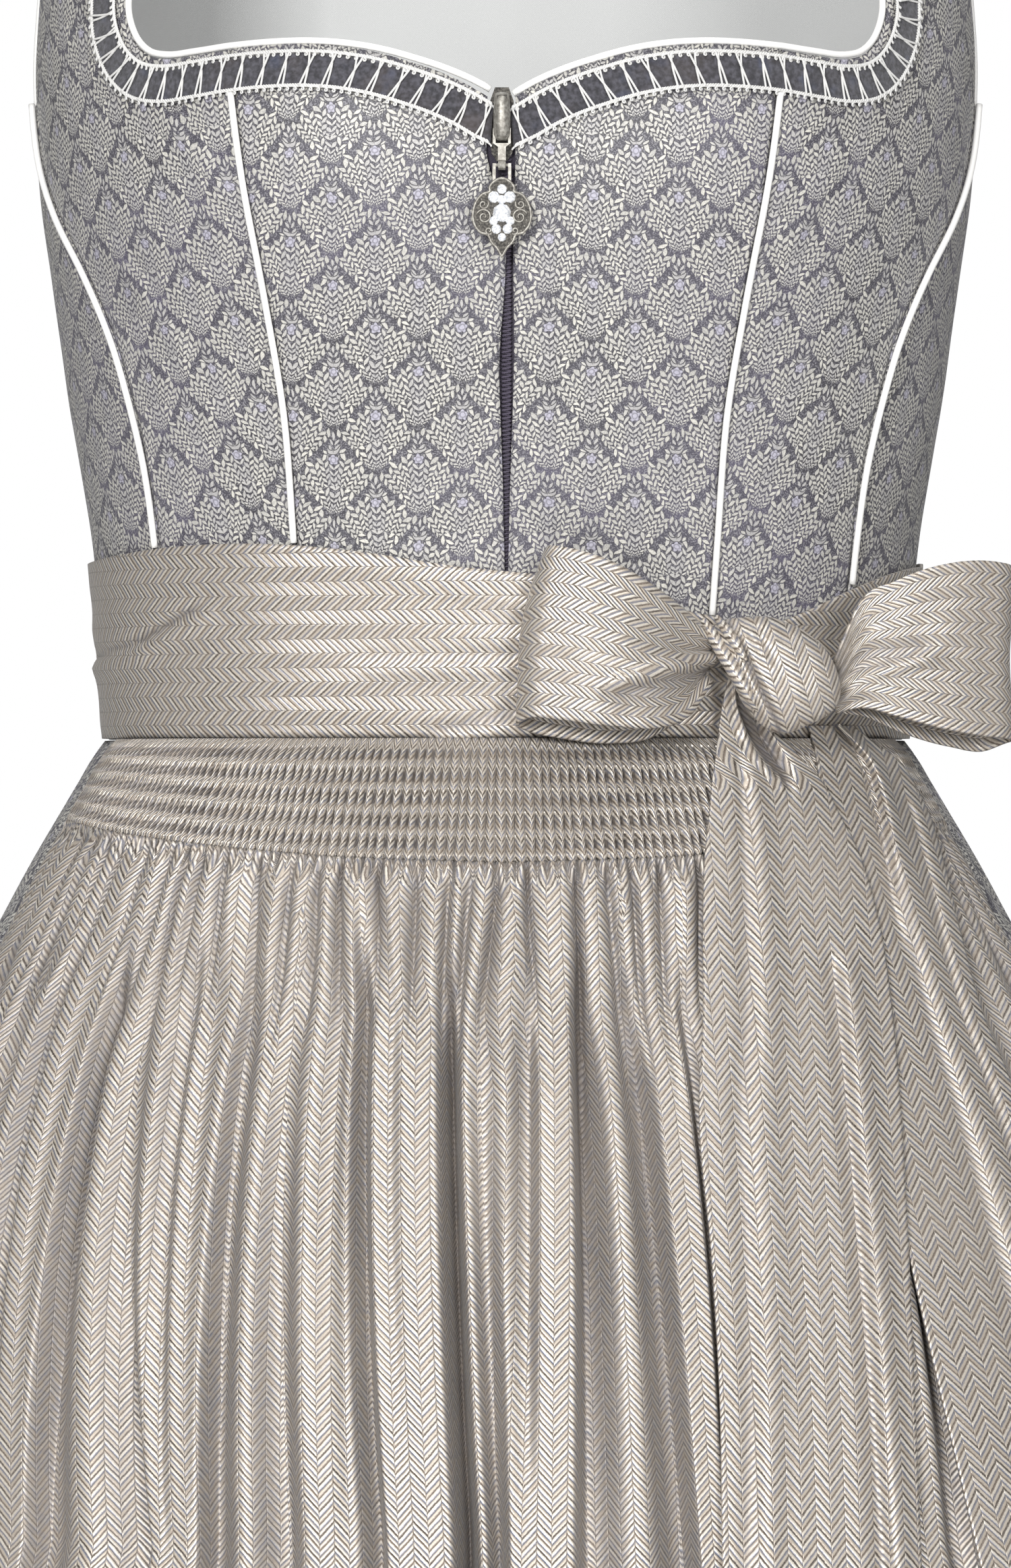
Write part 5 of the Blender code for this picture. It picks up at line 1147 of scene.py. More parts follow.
# Apron: a smocked band over folds that gather from it and widen to the hem.
apron = {
    "edgeAngle": 72.0,
    "ribs": 124,
    "ribCloth": 8.9,
    "ribPlaces": (0.0, 0.13, 0.31, 0.5, 0.69, 0.87),
    "top": 0.2,
    "stitchRows": (0.05, 0.235, 0.42, 0.605, 0.79, 0.965),
    "valleyOut": 0.7,
    "crestOut": 4.9,
    "joinValley": 2.0,
    "joinCrest": 4.4,
    "floor": 1.0,
    "wall": 0.5,
    "hem": -575.0,
    "depth": rows("angle depth", ((0, 38.1), (20, 36.2), (35, 33.3), (52, 29.5), (67, 26), (75, 25))),
    "edgeThin": 9.0,
    "crest": rows("height crest", ((-575, 20), (-241, 16), (-123, 12.5), (-83, 10), (-60, 7.6), (-44, 5.2))),
    "bandFlat": (1.104, 0.038),
    "bandArea": 1.104 * 0.0326,
    "panelFlat": (1.104, 0.56),
    "panelArea": 1.04 * 0.56,
    "levels": (-241.0, -83.0, -44.0),
    "folds": rows("bandX midX lowX bandDepth midDepth lowDepth", (
        (-140.6, -154.0, -200.0, 0.60, 0.55, 0.30), (-127.0, -141.5, -153.0, 0.60, 0.45, 0.35),
        (-121.0, -132.8, -143.0, 0.35, 0.55, 0.10), (-115.5, -122.3, -137.0, 0.45, 0.15, 0.00),
        (-107.9, -114.6, -130.4, 0.40, 0.90, 0.50), (-98.9, -104.0, -99.5, 0.70, 0.25, 0.50),
        (-88.7, -90.8, -93.0, 1.00, 0.45, 0.00), (-82.0, -83.5, -87.0, 0.70, 0.25, 0.00),
        (-70.1, -73.1, -81.1, 0.45, 0.45, 0.50), (-58.3, -60.3, -60.6, 0.80, 0.25, 0.45),
        (-48.0, -46.5, -46.0, 0.20, 0.30, 0.00), (-43.0, -40.2, -34.4, 0.95, 0.65, 0.42),
        (-35.5, -32.1, -28.0, 0.45, 0.15, 0.00), (-25.7, -24.6, -20.0, 0.45, 0.00, 0.00),
        (-15.0, -15.9, -10.1, 0.85, 1.00, 1.00), (-3.0, -7.5, -1.5, 0.30, 0.20, 0.60),
        (4.5, 6.5, 5.0, 0.35, 0.45, 0.00), (11.9, 13.0, 12.5, 0.25, 0.00, 0.00),
        (21.1, 21.0, 23.1, 0.95, 0.95, 0.50), (33.5, 35.9, 50.2, 0.50, 0.75, 0.55),
        (43.4, 44.0, 56.5, 0.25, 0.00, 0.00), (51.4, 51.5, 62.2, 0.90, 0.50, 0.35),
        (63.0, 62.5, 79.0, 0.60, 0.45, 0.45), (74.0, 77.0, 97.0, 0.70, 0.55, 0.50),
        (86.0, 90.0, 112.0, 0.50, 0.40, 0.00), (97.0, 104.0, 128.0, 0.75, 0.65, 0.50),
        (107.5, 116.0, 150.0, 0.45, 0.35, 0.40), (118.0, 130.0, 170.0, 0.70, 0.55, 0.50),
        (128.5, 143.0, 190.0, 0.45, 0.35, 0.00), (138.5, 154.0, 206.0, 0.60, 0.45, 0.40))),
}


# The height of the smocked band's lower edge.
def bandBottom(angle):
    return apron["top"] - eased(apron["depth"], "angle", "depth", np.abs(angle))


# Rib profile: 0 in the valley between ribs and 1 on the crest, which a higher power makes narrower.
def ribShape(rib, power=0.75):
    return np.abs(np.sin(math.pi * rib)) ** power


# How far out band and panel meet, between the valleys and the crests.
def joinOut(ribs):
    return apron["joinValley"] + (apron["joinCrest"] - apron["joinValley"]) * ribs


# Cloth across a rib: true to size on the crest, and the rest tucked into the valleys.
def ribCloth(rib, width):
    whole = np.floor(rib)
    place = (rib - whole) * 2 - 1
    crest = place * width / 2
    tucked = np.sign(place) * np.abs(place) ** 5 * (apron["ribCloth"] - width) / 2
    return (whole + 0.5) * apron["ribCloth"] + crest + tucked


# Share of the thickness that is left towards the apron's two side edges.
def thinned(angles):
    return 0.45 + 0.55 * smooth((apron["edgeAngle"] - np.abs(angles)) / apron["edgeThin"])


# The smocked band: crests over hollows, and at each stitch row the hollows close to a wavy line. Strands
# lean between the rows, more at the left, and the band's last stretch passes into the panel's pleats.
def addSmocking():
    rib = (np.arange(apron["ribs"])[:, None] + np.array(apron["ribPlaces"])).ravel()
    rib = np.append(rib, apron["ribs"])[None, :]
    share = np.linspace(0, 1, 61)[:, None]
    waved = share + 0.006 * np.cos(2 * math.pi * rib) + 0.004 * wander(rib / 3, share * 20, 2)
    pinch = np.minimum(sum(hump(waved, at, 0.036) for at in apron["stitchRows"]), 1.0)
    leftward = smooth((apron["ribs"] * 0.5 - rib) / 40)
    interval = (share - apron["stitchRows"][0]) / 0.183
    sway = (0.12 * leftward + 0.03) * (0.5 - interval % 1) * (1 - pinch)
    sway = sway + 0.08 * np.sin(rib * 2.3 + share * 5)
    angles = -apron["edgeAngle"] + rib / apron["ribs"] * 2 * apron["edgeAngle"]
    heights = apron["top"] + share * (bandBottom(angles) - apron["top"])
    uneven = 1 + 0.12 * wander(rib / 2.2, share * 9, 3)
    crest = apron["crestOut"] * (0.62 + 0.38 * smooth(share * 6)) * uneven + 0.1 * pinch
    lowest = apron["valleyOut"] + 0.4 * (1 - leftward)
    valley = lowest + (crest - lowest) * 0.74 * pinch
    out = valley + (crest - valley) * ribShape(rib + 0 * share, 0.8)
    end = smooth((share - 0.95) / 0.05)
    out = out * (1 - end) + joinOut(ribShape(rib)) * end
    out = out * thinned(angles)
    shifted = angles + sway * 2 * apron["edgeAngle"] / apron["ribs"]
    reach = 2.5 + 1.95 * smooth((np.abs(angles) - 8) / 30)
    crossed = (np.floor(rib) + 0.5) * apron["ribCloth"] + (rib - np.floor(rib) - 0.5) * 2 * reach
    cloth = np.stack(np.broadcast_arrays(crossed, bellCloth.place(angles, heights)[..., 1]), axis=-1)
    # Painted shadow in the slits between ribs: a dark band by each valley, moved onto the flank that faces
    # the front towards the band's sides, left out at the stitch rows and weaker at the band's end.
    seen = (1 - ribShape(rib - 0.24 * np.clip(angles / 45, -1, 1), 0.7)) * (1 - pinch)
    tuck = np.clip((seen - 0.42 + 0.1 * leftward) * 4, 0, 0.95) * (1 - 0.4 * end)
    part = gridPart(pushed(bell(shifted, heights), out), cloth, tuck, flip=True)
    piece = addPiece("apronSmocking", part, paints["herringbone"], ["apron_panel"],
                     wall=apron["wall"])


# Angles and depths of the fold valleys at each height, straight between the three levels.
def foldLines(height):
    low, middle, high = apron["levels"]
    places = [sideAngle(form["bell"], apron["folds"][name], at) for name, at in
              zip(("lowX", "midX", "bandX"), apron["levels"])]
    depths = [apron["folds"][name] for name in ("lowDepth", "midDepth", "bandDepth")]
    at = np.clip(height, low, high)[..., None]
    below = at <= middle
    t = np.where(below, (at - low) / (middle - low), (at - middle) / (high - middle))
    places, depths = [np.where(below, v[0] + (v[1] - v[0]) * t, v[1] + (v[2] - v[1]) * t)
                      for v in (places, depths)]
    edge = np.full(at.shape, apron["edgeAngle"])
    edgeDepth = np.full(at.shape, 0.7)
    return (np.concatenate((-edge, places, edge), axis=-1),
            np.concatenate((edgeDepth, depths, edgeDepth), axis=-1))


# The fold that each column of points is in, and its share of the way across, closer near the valleys.
def foldColumns(count, perFold):
    fold = np.append(np.repeat(np.arange(count), perFold), count - 1)
    inside = 0.5 - 0.5 * np.cos(np.linspace(0, math.pi, perFold, endpoint=False))
    return fold, np.append(np.tile(inside, count), 1.0)


# The soft folds: angles that go straight from valley to valley, and a drop, 0 on the crest and 1 on the
# floor, that falls to each valley along a cosine.
def softFolds(heights, fold, inside):
    valleys, depths = foldLines(heights)
    columns = np.arange(len(fold))[None, :] * 0
    start, end, depthStart, depthEnd = (
        np.take_along_axis(values, (fold + step)[None, :, None] + columns[..., None], axis=2)[..., 0]
        for values in (valleys, depths) for step in (0, 1))
    angles = start * (1 - inside) + end * inside
    width = np.radians(end - start) * eased(form["bell"], "height", "width", heights)
    lowered = np.minimum(depthStart, depthEnd) * 0.8 * np.clip(1 - width / 16.0, 0, 1)
    reach = np.clip(17.0 / width, 0.38, 0.5)
    near = [(0.5 + 0.5 * np.cos(math.pi * np.minimum(place / reach, 1))) ** (0.8 + 0.9 * depth)
            for place, depth in ((inside, depthStart), (1 - inside, depthEnd))]
    drop = lowered + (depthStart - lowered) * near[0] + (depthEnd - lowered) * near[1]
    return angles, np.clip(drop, 0, 1) ** 0.85


# Cloth across the panel: gathered rib by rib at the top, and below it true lengths from each wide fold's
# middle.
def panelCloth(points, rib, fold, below):
    steps = np.linalg.norm(np.diff(points, axis=1), axis=-1)
    lengths = np.concatenate((np.zeros((len(points), 1)), np.cumsum(steps, axis=1)), axis=1)
    deep = np.append(0, np.flatnonzero(apron["folds"]["lowDepth"] >= 0.3) + 1)
    wide = np.searchsorted(deep, fold, side="right") - 1
    middle = np.array([np.flatnonzero(wide == part).mean() for part in range(len(deep))]).astype(int)
    folded = lengths - lengths[:, middle[wide]]
    ribColumn = np.searchsorted(rib, np.floor(rib) + 0.5).clip(0, len(rib) - 1)
    gathered = ribCloth(rib, 3.4) - (np.floor(rib) + 0.5) * apron["ribCloth"]
    period = 2 * herringbone["column"]
    gathered = gathered[None, :] + period * np.round(folded[4, ribColumn] / period)
    share = smooth(below / 8)
    return gathered * (1 - share) + folded * share, lengths


# The panel starts as the band's ribs, opens into narrow pleats, and settles into the soft folds.
def addApronPanel():
    fold, inside = foldColumns(len(apron["folds"]["bandX"]) + 1, 26)
    bandAngles, _ = foldLines(np.array([apron["levels"][-1]]))
    bandAngle = bandAngles[0, fold] * (1 - inside) + bandAngles[0, fold + 1] * inside
    rib = (bandAngle + apron["edgeAngle"]) / (2 * apron["edgeAngle"]) * apron["ribs"]
    down = (np.linspace(0, 1, 64) ** 1.55)[:, None]
    heights = bandBottom(bandAngle)[None, :] * (1 - down) + apron["hem"] * down
    below = bandBottom(bandAngle)[None, :] - heights
    angles, drop = softFolds(heights, fold, inside)
    crest = eased(apron["crest"], "height", "crest", heights)
    ribs = ribShape(rib)[None, :]
    merged = rib / 3.1 + 0.25 * np.sin(rib * 0.43) + 0.07 * np.sin(rib * 1.1)
    shifted = merged[None, :] + 0.10 * np.sin(below / 21 + rib[None, :] * 0.21)
    pleats = np.abs(np.sin(math.pi * shifted)) ** 0.55
    fading = 0.75 + 0.25 * wander(rib / 5, below / 30, 4)
    lasting = np.clip(16 + 15 * wander(rib / 4.2, 0 * rib, 4), 3, 40)
    start = joinOut(ribs)
    pleated = apron["floor"] + pleats * fading * (4.6 + 0.07 * np.minimum(below, 60.0))
    settled = crest - drop * (crest - apron["floor"]) + 0.5 * wander(rib / 4, heights / 60, 7)
    out = start + (pleated - start) * smooth(below / 9)
    out = out + (settled - out) * smooth((below - lasting) / 55)
    out = np.maximum(out, 0.3) * thinned(angles)
    points = pushed(bell(angles, heights), out)
    across, lengths = panelCloth(points, rib, fold, below)
    cloth = np.stack((across, bellCloth.place(angles, heights)[..., 1]), axis=-1)
    # Painted shade: in the slits between ribs and pleats just under the band, on the folds' valley floors
    # further down, and on steep flanks.
    paintedSlitShade = (1 - ribs) * np.exp(-below / 4)
    paintedSlitShade = paintedSlitShade + 1.9 * (1 - pleats) * fading * smooth(below / 4) * np.exp(-below / 28)
    lowest = drop * smooth((below - 12) / 30) * 1.05
    steep = np.abs(np.gradient(out, axis=1)) / (np.gradient(lengths, axis=1) + 1e-6)
    tuck = np.maximum(lowest + paintedSlitShade, 0.7 * smooth((steep - 0.15) / 0.6))
    part = gridPart(points, cloth, np.clip(tuck, 0, 1), flip=True)
    piece = addPiece("apronPanel", part, paints["herringbone"], ["apron_panel"],
                     wall=apron["wall"])


addSmocking()
addApronPanel()
print("apron made")


# Skirt: thirty main folds with small gathers at the waist.
skirt = {
    "folds": 30,
    "depth": rows("height depth", (
        (-600, 18), (-410, 15), (-240, 11), (-130, 7.5), (-60, 4.5), (-20, 2.2), (0, 0.8))),
    "unevenness": 0.22,
    "valleyReach": 0.42,
    "gatherPitch": 2.1,
    "wall": 0.8,
    "top": -0.2,
    "hem": -600.0,
    "flat": (1.9, 0.63),
}


# Folds fall from crest to valley along a parabola. Gathers and shallow waves are rectified sines over them.
def addSkirt():
    number = np.arange(skirt["folds"])
    spacing = 360.0 / skirt["folds"]
    uneven = skirt["unevenness"] * np.sin(2.3 * number + 0.7 * np.sin(1.9 * number))
    valley = number * spacing + uneven * spacing
    valley = np.append(valley, valley[0] + 360.0)
    fold, inside = foldColumns(skirt["folds"], 18)
    angles = (valley[fold] * (1 - inside) + valley[fold + 1] * inside)[None, :]
    heights = (skirt["top"] + (skirt["hem"] - skirt["top"]) * np.linspace(0, 1, 60) ** 1.3)[:, None]
    depth = eased(skirt["depth"], "height", "depth", heights)
    near = sum(np.clip(1 - place / skirt["valleyReach"], 0, 1) ** 2 for place in (inside, 1 - inside))
    gather = np.abs(np.sin(angles * math.pi / skirt["gatherPitch"] + 0.8 * np.sin(angles / 9))) ** 0.7
    small = gather * (1.1 * np.exp(heights / 45) + 0.5 * np.exp(heights / 200))
    waves = (np.sin(angles * math.pi / 4 + np.sin(angles / 13) * 2) + 1) / 2
    out = -depth * near[None, :] - small - 0.8 * smooth(-heights / 150) * waves
    cloth = bellCloth.place(angles - 180.0 + 0 * heights, heights)
    # Painted shade in the fold valleys below the waist and between the small gathers near it.
    tuck = near[None, :] * 0.7 * smooth(-heights / 60) + (1 - gather) * 0.6 * np.exp(heights / 60)
    part = gridPart(pushed(bell(angles, heights), out), cloth, np.clip(tuck, 0, 1), wraps=True, flip=True)
    piece = addPiece("skirtCloth", part, paints["brocade"], ["skirt"], wall=skirt["wall"])


addSkirt()
print("skirt made")


# Bow: two loops, a knot and two tails of the belt's ribbon.
bow = {
    "wall": 0.9,
    "ribbon": 62.0,
    "left": rows("x y top bottom lean", (
        (62.6, -92.5, 31, 18, 0), (56, -95, 36, 9, 0), (46, -97.5, 45, 1, 0), (32, -99.7, 53, -1.5, 0),
        (17, -101.8, 57, 0, 1), (7.5, -104.7, 57, 2, 5), (4, -109.2, 56, 4, 8), (7, -113.7, 58, 6, 6),
        (17, -117.1, 58, 5.4, 1), (32, -117.9, 53.8, 3.6, 0), (46, -113.1, 45.5, 3.2, 0),
        (56, -105.3, 37.5, 7.5, 0), (62.7, -98.6, 32, 16.5, 0))),
    "right": rows("x y top bottom lean", (
        (103.6, -79.5, 26, 8, 0), (110, -76.5, 38, 7, 0), (122, -72.5, 48, 2, 0), (138, -67.8, 53, -2.5, 0),
        (149, -65.5, 54, -3.8, 0), (155, -67.2, 54, -1.5, 0), (157.6, -72, 53, -0.5, 0),
        (155.6, -77.4, 54, 0, 0), (147.5, -82.7, 55, 0.8, 0), (135, -87.6, 53.6, 3, 0),
        (120, -90.6, 48.4, 7, 0), (109.5, -90, 42, 9.5, 0), (101.7, -90.3, 24, 8, 0))),
    "leftRidge": ((30, 15.5), (66, 26.0), 2.2),
    "rightRidge": ((134, 26.0), (104, 17.5), -1.6),
    "knotEdge": np.array((
        (71.6, 36.6), (78.3, 37.4), (86.6, 35.2), (93.8, 31.2), (99.2, 25.6), (102.2, 18.8), (102.8, 12.4),
        (100, 7.8), (92.7, 4.4), (85, 1.2), (80.0, 2.8), (75.6, 7.6), (71.0, 14.8), (67.8, 22.4),
        (64.8, 29.4), (62.6, 34.4), (66.3, 36.6))),
    "knotMiddle": (83.0, -97.4, 20.5),
    "knotDepths": (9.6, 8.0),
    "knotTilt": math.radians(17.0),
    "knotCrease": ((64, 37), (79, 5)),
    "knotFlat": (0.062, 0.05),
    "knotArea": 0.002,
    "knotRolls": (
        rows("x y height radius", (
            (60.4, -99, 36.2, 1.2), (63.4, -101.5, 31.6, 1.9), (66.4, -103, 26.4, 2.2),
            (70.6, -104.2, 19.6, 2.3), (74.4, -104, 13.2, 1.8), (77.6, -102, 8.2, 0.7))),
        rows("x y height radius", (
            (64.6, -99, 37.2, 0.9), (67.4, -102.6, 33.4, 1.6), (70.4, -104.6, 29, 1.7),
            (73.4, -105.2, 23.6, 0.8)))),
    "tailFront": rows("height left right out anchor", (
        (-480, 66, 127, 23.6, 103), (-360, 64, 124, 22, 101), (-245, 62.2, 120.8, 20.6, 98.4),
        (-190, 61.6, 119.7, 19.2, 97), (-155, 59.8, 119, 18.2, 95), (-113, 56.6, 117.8, 16.4, 92.5),
        (-84, 58.2, 116.4, 14.6, 90.6), (-56, 58.8, 113.4, 11.6, 88.6), (-34, 60.0, 107.6, 9.4, 87.4),
        (-21.6, 61.6, 101.5, 8.6, 86.2), (-13.4, 62.4, 97.4, 8.6, 84.4), (-7.2, 63.4, 91.7, 9.0, 78.3),
        (3, 64.7, 81.4, 9.6, 72.7), (11, 65.9, 74.0, 10.4, 70.0), (18, 67.4, 71.4, 11.0, 69.0))),
    "tailBack": rows("height left right out anchor", (
        (-440, 176, 226, 25.5, 203), (-340, 157, 214, 22.8, 188), (-247, 139.1, 196, 19.4, 169),
        (-183, 125.2, 180, 16.9, 153), (-151, 118.5, 170, 15.9, 145), (-107, 110, 154.9, 14, 133),
        (-84, 106, 146, 12.3, 126), (-60, 102, 140.5, 9.8, 119), (-37, 98.5, 136, 7.2, 112.6),
        (-20, 96.8, 131, 6, 108), (-6, 96, 122, 5.8, 105), (4, 94, 108, 4.8, 102))),
    "turnedBack": rows("height crest valley depth", (
        (-16, 0.64, 0.66, 0.0), (-13.4, 0.63, 0.70, 2.2), (-7.2, 0.53, 0.82, 3.6), (3, 0.48, 0.86, 4.0),
        (11, 0.5, 0.86, 3.0), (18, 0.5, 0.9, 0.8))),
    "frontFolds": rows("start end topShare lowShare depth width", (
        (-70, -480, 0.72, 0.97, 2.4, 0.07), (-10, -300, 0.30, 0.12, 1.4, 0.09))),
    "backFolds": rows("start end topShare lowShare depth width", (
        (4, -50, 0.6, 0.5, 2.8, 0.09), (-40, -440, 0.6, 0.5, 1.6, 0.12), (-20, -440, 0.85, 0.8, 1.2, 0.08))),
    "tailSlack": 1.06,
}


# A loop: its middle line seen from above carries the ribbon's two edges. Pleats fan from the roots and die
# out along the loop, and one ridge crosses its front half.
def addLoop(name, node, values, ridge, seed):
    line = np.stack((values["x"], values["y"]), axis=1)
    lengths = np.concatenate(([0.0], np.cumsum(np.linalg.norm(np.diff(line, axis=0), axis=1))))
    measured = dict(values, length=lengths)
    at = np.linspace(0, lengths[-1], 121)
    x, y, top, bottom, lean = (eased(measured, "length", key, at)[:, None] for key in
                               ("x", "y", "top", "bottom", "lean"))
    share = np.linspace(0, 1, 41)[None, :]
    stepX, stepY = np.gradient(x[:, 0])[:, None], np.gradient(y[:, 0])[:, None]
    size = np.hypot(stepX, stepY)
    normal = np.stack(np.broadcast_arrays(stepY / size, -stepX / size, 0 * share), axis=-1)
    points = np.stack(np.broadcast_arrays(x + lean * share ** 2, y, bottom + share * (top - bottom)), axis=-1)
    end = np.minimum(at, lengths[-1] - at)[:, None]
    pleat = np.exp(-end / 16) * (1.5 * np.sin(share * math.pi * 5 + seed) + 0.8 * np.sin(share * math.pi * 9))
    soft = 0.9 * np.sin(share * math.pi * 2.3 + at[:, None] / 23 + seed) * smooth(end / 12)
    swell = 1.2 * np.sin(share * math.pi) * smooth(end / 20)
    points = points + normal * (pleat + soft * 0.5 + swell * 0.6)[..., None]
    start, stop, depth = ridge
    gap, run = toLine(points[..., 0], points[..., 2], start, stop)
    body = smooth((run + 0.15) * 3) * (at[:, None] > lengths[-1] / 2) * smooth((1.6 - run) * 3)
    shape = hump(gap, -0.6, 1.8) - 0.8 * smooth(gap / 4) * smooth((16 - gap) / 8)
    points = points + normal * (depth * body * shape)[..., None]
    # Painted shade in the pleats' valleys near the roots, and in a band below the ridge on the front half.
    tuck = np.maximum(0.75 * np.exp(-end / 9) * smooth(np.sin(share * math.pi * 5 + seed + math.pi)),
                      0.55 * body * smooth(gap / 2) * smooth((12 - gap) / 7))
    cloth = np.stack(np.broadcast_arrays(share * bow["ribbon"], at[:, None]), axis=-1)
    part = gridPart(points, cloth, tuck)
    piece = addPiece(name, part, paints["herringbone"], [node], wall=bow["wall"])
    bow["ribbon"] / 1000


# The knot: a cushion over its outline, whose depth is the sine of the rise from its rim, with grooves beside
# the crease and rolled pleats along it.
def addKnot():
    turn = np.linspace(-math.pi, math.pi, 121)[None, :]
    rise = np.linspace(-math.pi / 2, math.pi / 2, 71)[:, None]
    middle = np.array(bow["knotMiddle"])
    rim = bow["knotEdge"] - middle[[0, 2]]
    bearing = np.arctan2(rim[:, 1], rim[:, 0])
    order = np.argsort(bearing)
    radius = np.interp(turn, bearing[order], np.hypot(rim[:, 0], rim[:, 1])[order], period=2 * math.pi)
    weights = np.hanning(11) / np.hanning(11).sum()
    radius = np.concatenate((radius[0, -6:-1], radius[0], radius[0, 1:6]))
    radius = np.convolve(radius, weights, "valid")[None, :]
    reach = np.cos(rise) ** 0.72 * radius
    x, z = reach * np.cos(turn), reach * np.sin(turn)
    front = np.sin(rise)
    y = -np.where(front > 0, *bow["knotDepths"]) * front
    cosine, sine = math.cos(bow["knotTilt"]), math.sin(bow["knotTilt"])
    across, along = x * cosine + z * sine, z * cosine - x * sine
    edgeGap, _ = toLine(x + middle[0], z + middle[2], *bow["knotCrease"])
    groove = hump(edgeGap, -3.4, 1.1) + 0.5 * hump(edgeGap, -8.2, 1.6) * smooth((z + 2) / 8)
    drape = 0.5 * np.sin(across / 3.4 + 1.2) + 0.35 * np.sin(across / 1.9 + along / 9)
    y = y + (2.3 * groove - drape * 0.7) * (front > 0) * front
    points = np.stack((x, y, z), axis=-1) + middle
    spread = 1 + 0.16 * (np.abs(across) / 20) ** 2
    cloth = np.stack((across * spread + 33.4, along * 1.04), axis=-1)
    # Painted shade in the grooves beside the crease, on the front only.
    parts = [gridPart(points, cloth, np.clip(groove * 0.9, 0, 1) * (front > 0), wraps=True)]
    share, ahead = np.linspace(0, 1, 40), np.array((0.0, -1.0, 0.0))
    for roll in bow["knotRolls"]:
        keys = dict(roll, share=np.linspace(0, 1, len(roll["x"])))
        path = np.stack([eased(keys, "share", name, share) for name in ("x", "y", "height")], axis=-1)
        parts.append(tubePart(path, eased(keys, "share", "radius", share), 16, facing=ahead))
    piece = addPiece("bowKnot", joined(parts), paints["herringbone"], ["bow_knot"],
                     weld=True)


# Points at a sideways place, out from the torso above the waist seam and from the bell below it.
def hung(x, height, out):
    above = pushed(torso(sideAngle(form["torso"], x, height, out), height), out)
    below = pushed(bell(sideAngle(form["bell"], x, height, out), height), out)
    return np.where(height[..., None] > 0.0, above, below)


# A tail: level lines between its two edges, with the ribbon true to width on both sides of its anchor
# line, soft folds down its length and, on the front one, an edge that turns back over a hollow, darkened with
# painted shade.
def addTail(name, node, values, folds, seed, turned=None):
    heights = np.linspace(values["height"][0], values["height"][-1], 181)[:, None]
    left, right, out, anchor = (eased(values, "height", key, heights) for key in
                                ("left", "right", "out", "anchor"))
    share = np.linspace(0, 1, 65)[None, :]
    x = left * (1 - share) + right * share
    wave, tuck = np.zeros(x.shape), np.zeros(x.shape)
    for start, end, topShare, lowShare, depth, width in zip(*folds.values()):
        middle = topShare + (lowShare - topShare) * np.clip((start - heights) / (start - end), 0, 1)
        fade = smooth((start + 8 - heights) / 12) * smooth((heights - end + 30) / 40)
        gap = share - middle
        wave = wave + depth * fade * (hump(gap, width * 0.8, width) - hump(gap, -width * 0.3, width * 0.6))
        # Painted shade in each fold's trough.
        tuck = np.maximum(tuck, 0.5 * fade * hump(gap, -width * 0.3, width * 0.5) * smooth(depth))
    if turned is not None:
        crest, valley, depth = (eased(turned, "height", key, heights) for key in ("crest", "valley", "depth"))
        inside = (share - crest) / np.maximum(valley - crest, 0.02)
        hollow = smooth(inside / 0.18) * smooth((1.15 - inside) / 0.55) * (heights > turned["height"][0])
        wave = wave - depth * hollow + 1.2 * hump(inside, -0.12, 0.2) * smooth(depth)
        # Painted shade in the hollow under the turned-back edge.
        tuck = np.maximum(tuck, 0.9 * hollow * smooth(depth))
    side = smooth((x - anchor) / (left - anchor + 1e-6) * 2.2 - 1.2)
    # Painted shade over the stretch left of the anchor line, darker towards the left edge, fading out from
    # -15 mm down to -75 mm height.
    tuck = np.maximum(tuck, 0.4 * side * smooth((heights + 75) / 60) * (x < anchor))
    wave = wave + 0.5 * wander(share * 5, heights / 60, seed)
    points = hung(x, heights + 0 * x, out + wave)
    cloth = np.stack(np.broadcast_arrays((x - anchor) * 1.04 + 35.6, heights * 0.92), axis=-1)
    piece = addPiece(name, gridPart(points, cloth, tuck), paints["herringbone"], [node],
                     wall=bow["wall"])
    bow["ribbon"] / 1000


addLoop("bowLoopLeft", "bow_loop_left", bow["left"], bow["leftRidge"], 0.4)
addLoop("bowLoopRight", "bow_loop_right", bow["right"], bow["rightRidge"], 1.9)
addKnot()
addTail("bowTailFront", "bow_tail_front", bow["tailFront"], bow["frontFolds"], 1.0, bow["turnedBack"])
addTail("bowTailBack", "bow_tail_back", bow["tailBack"], bow["backFolds"], 2.6)
print("bow made")


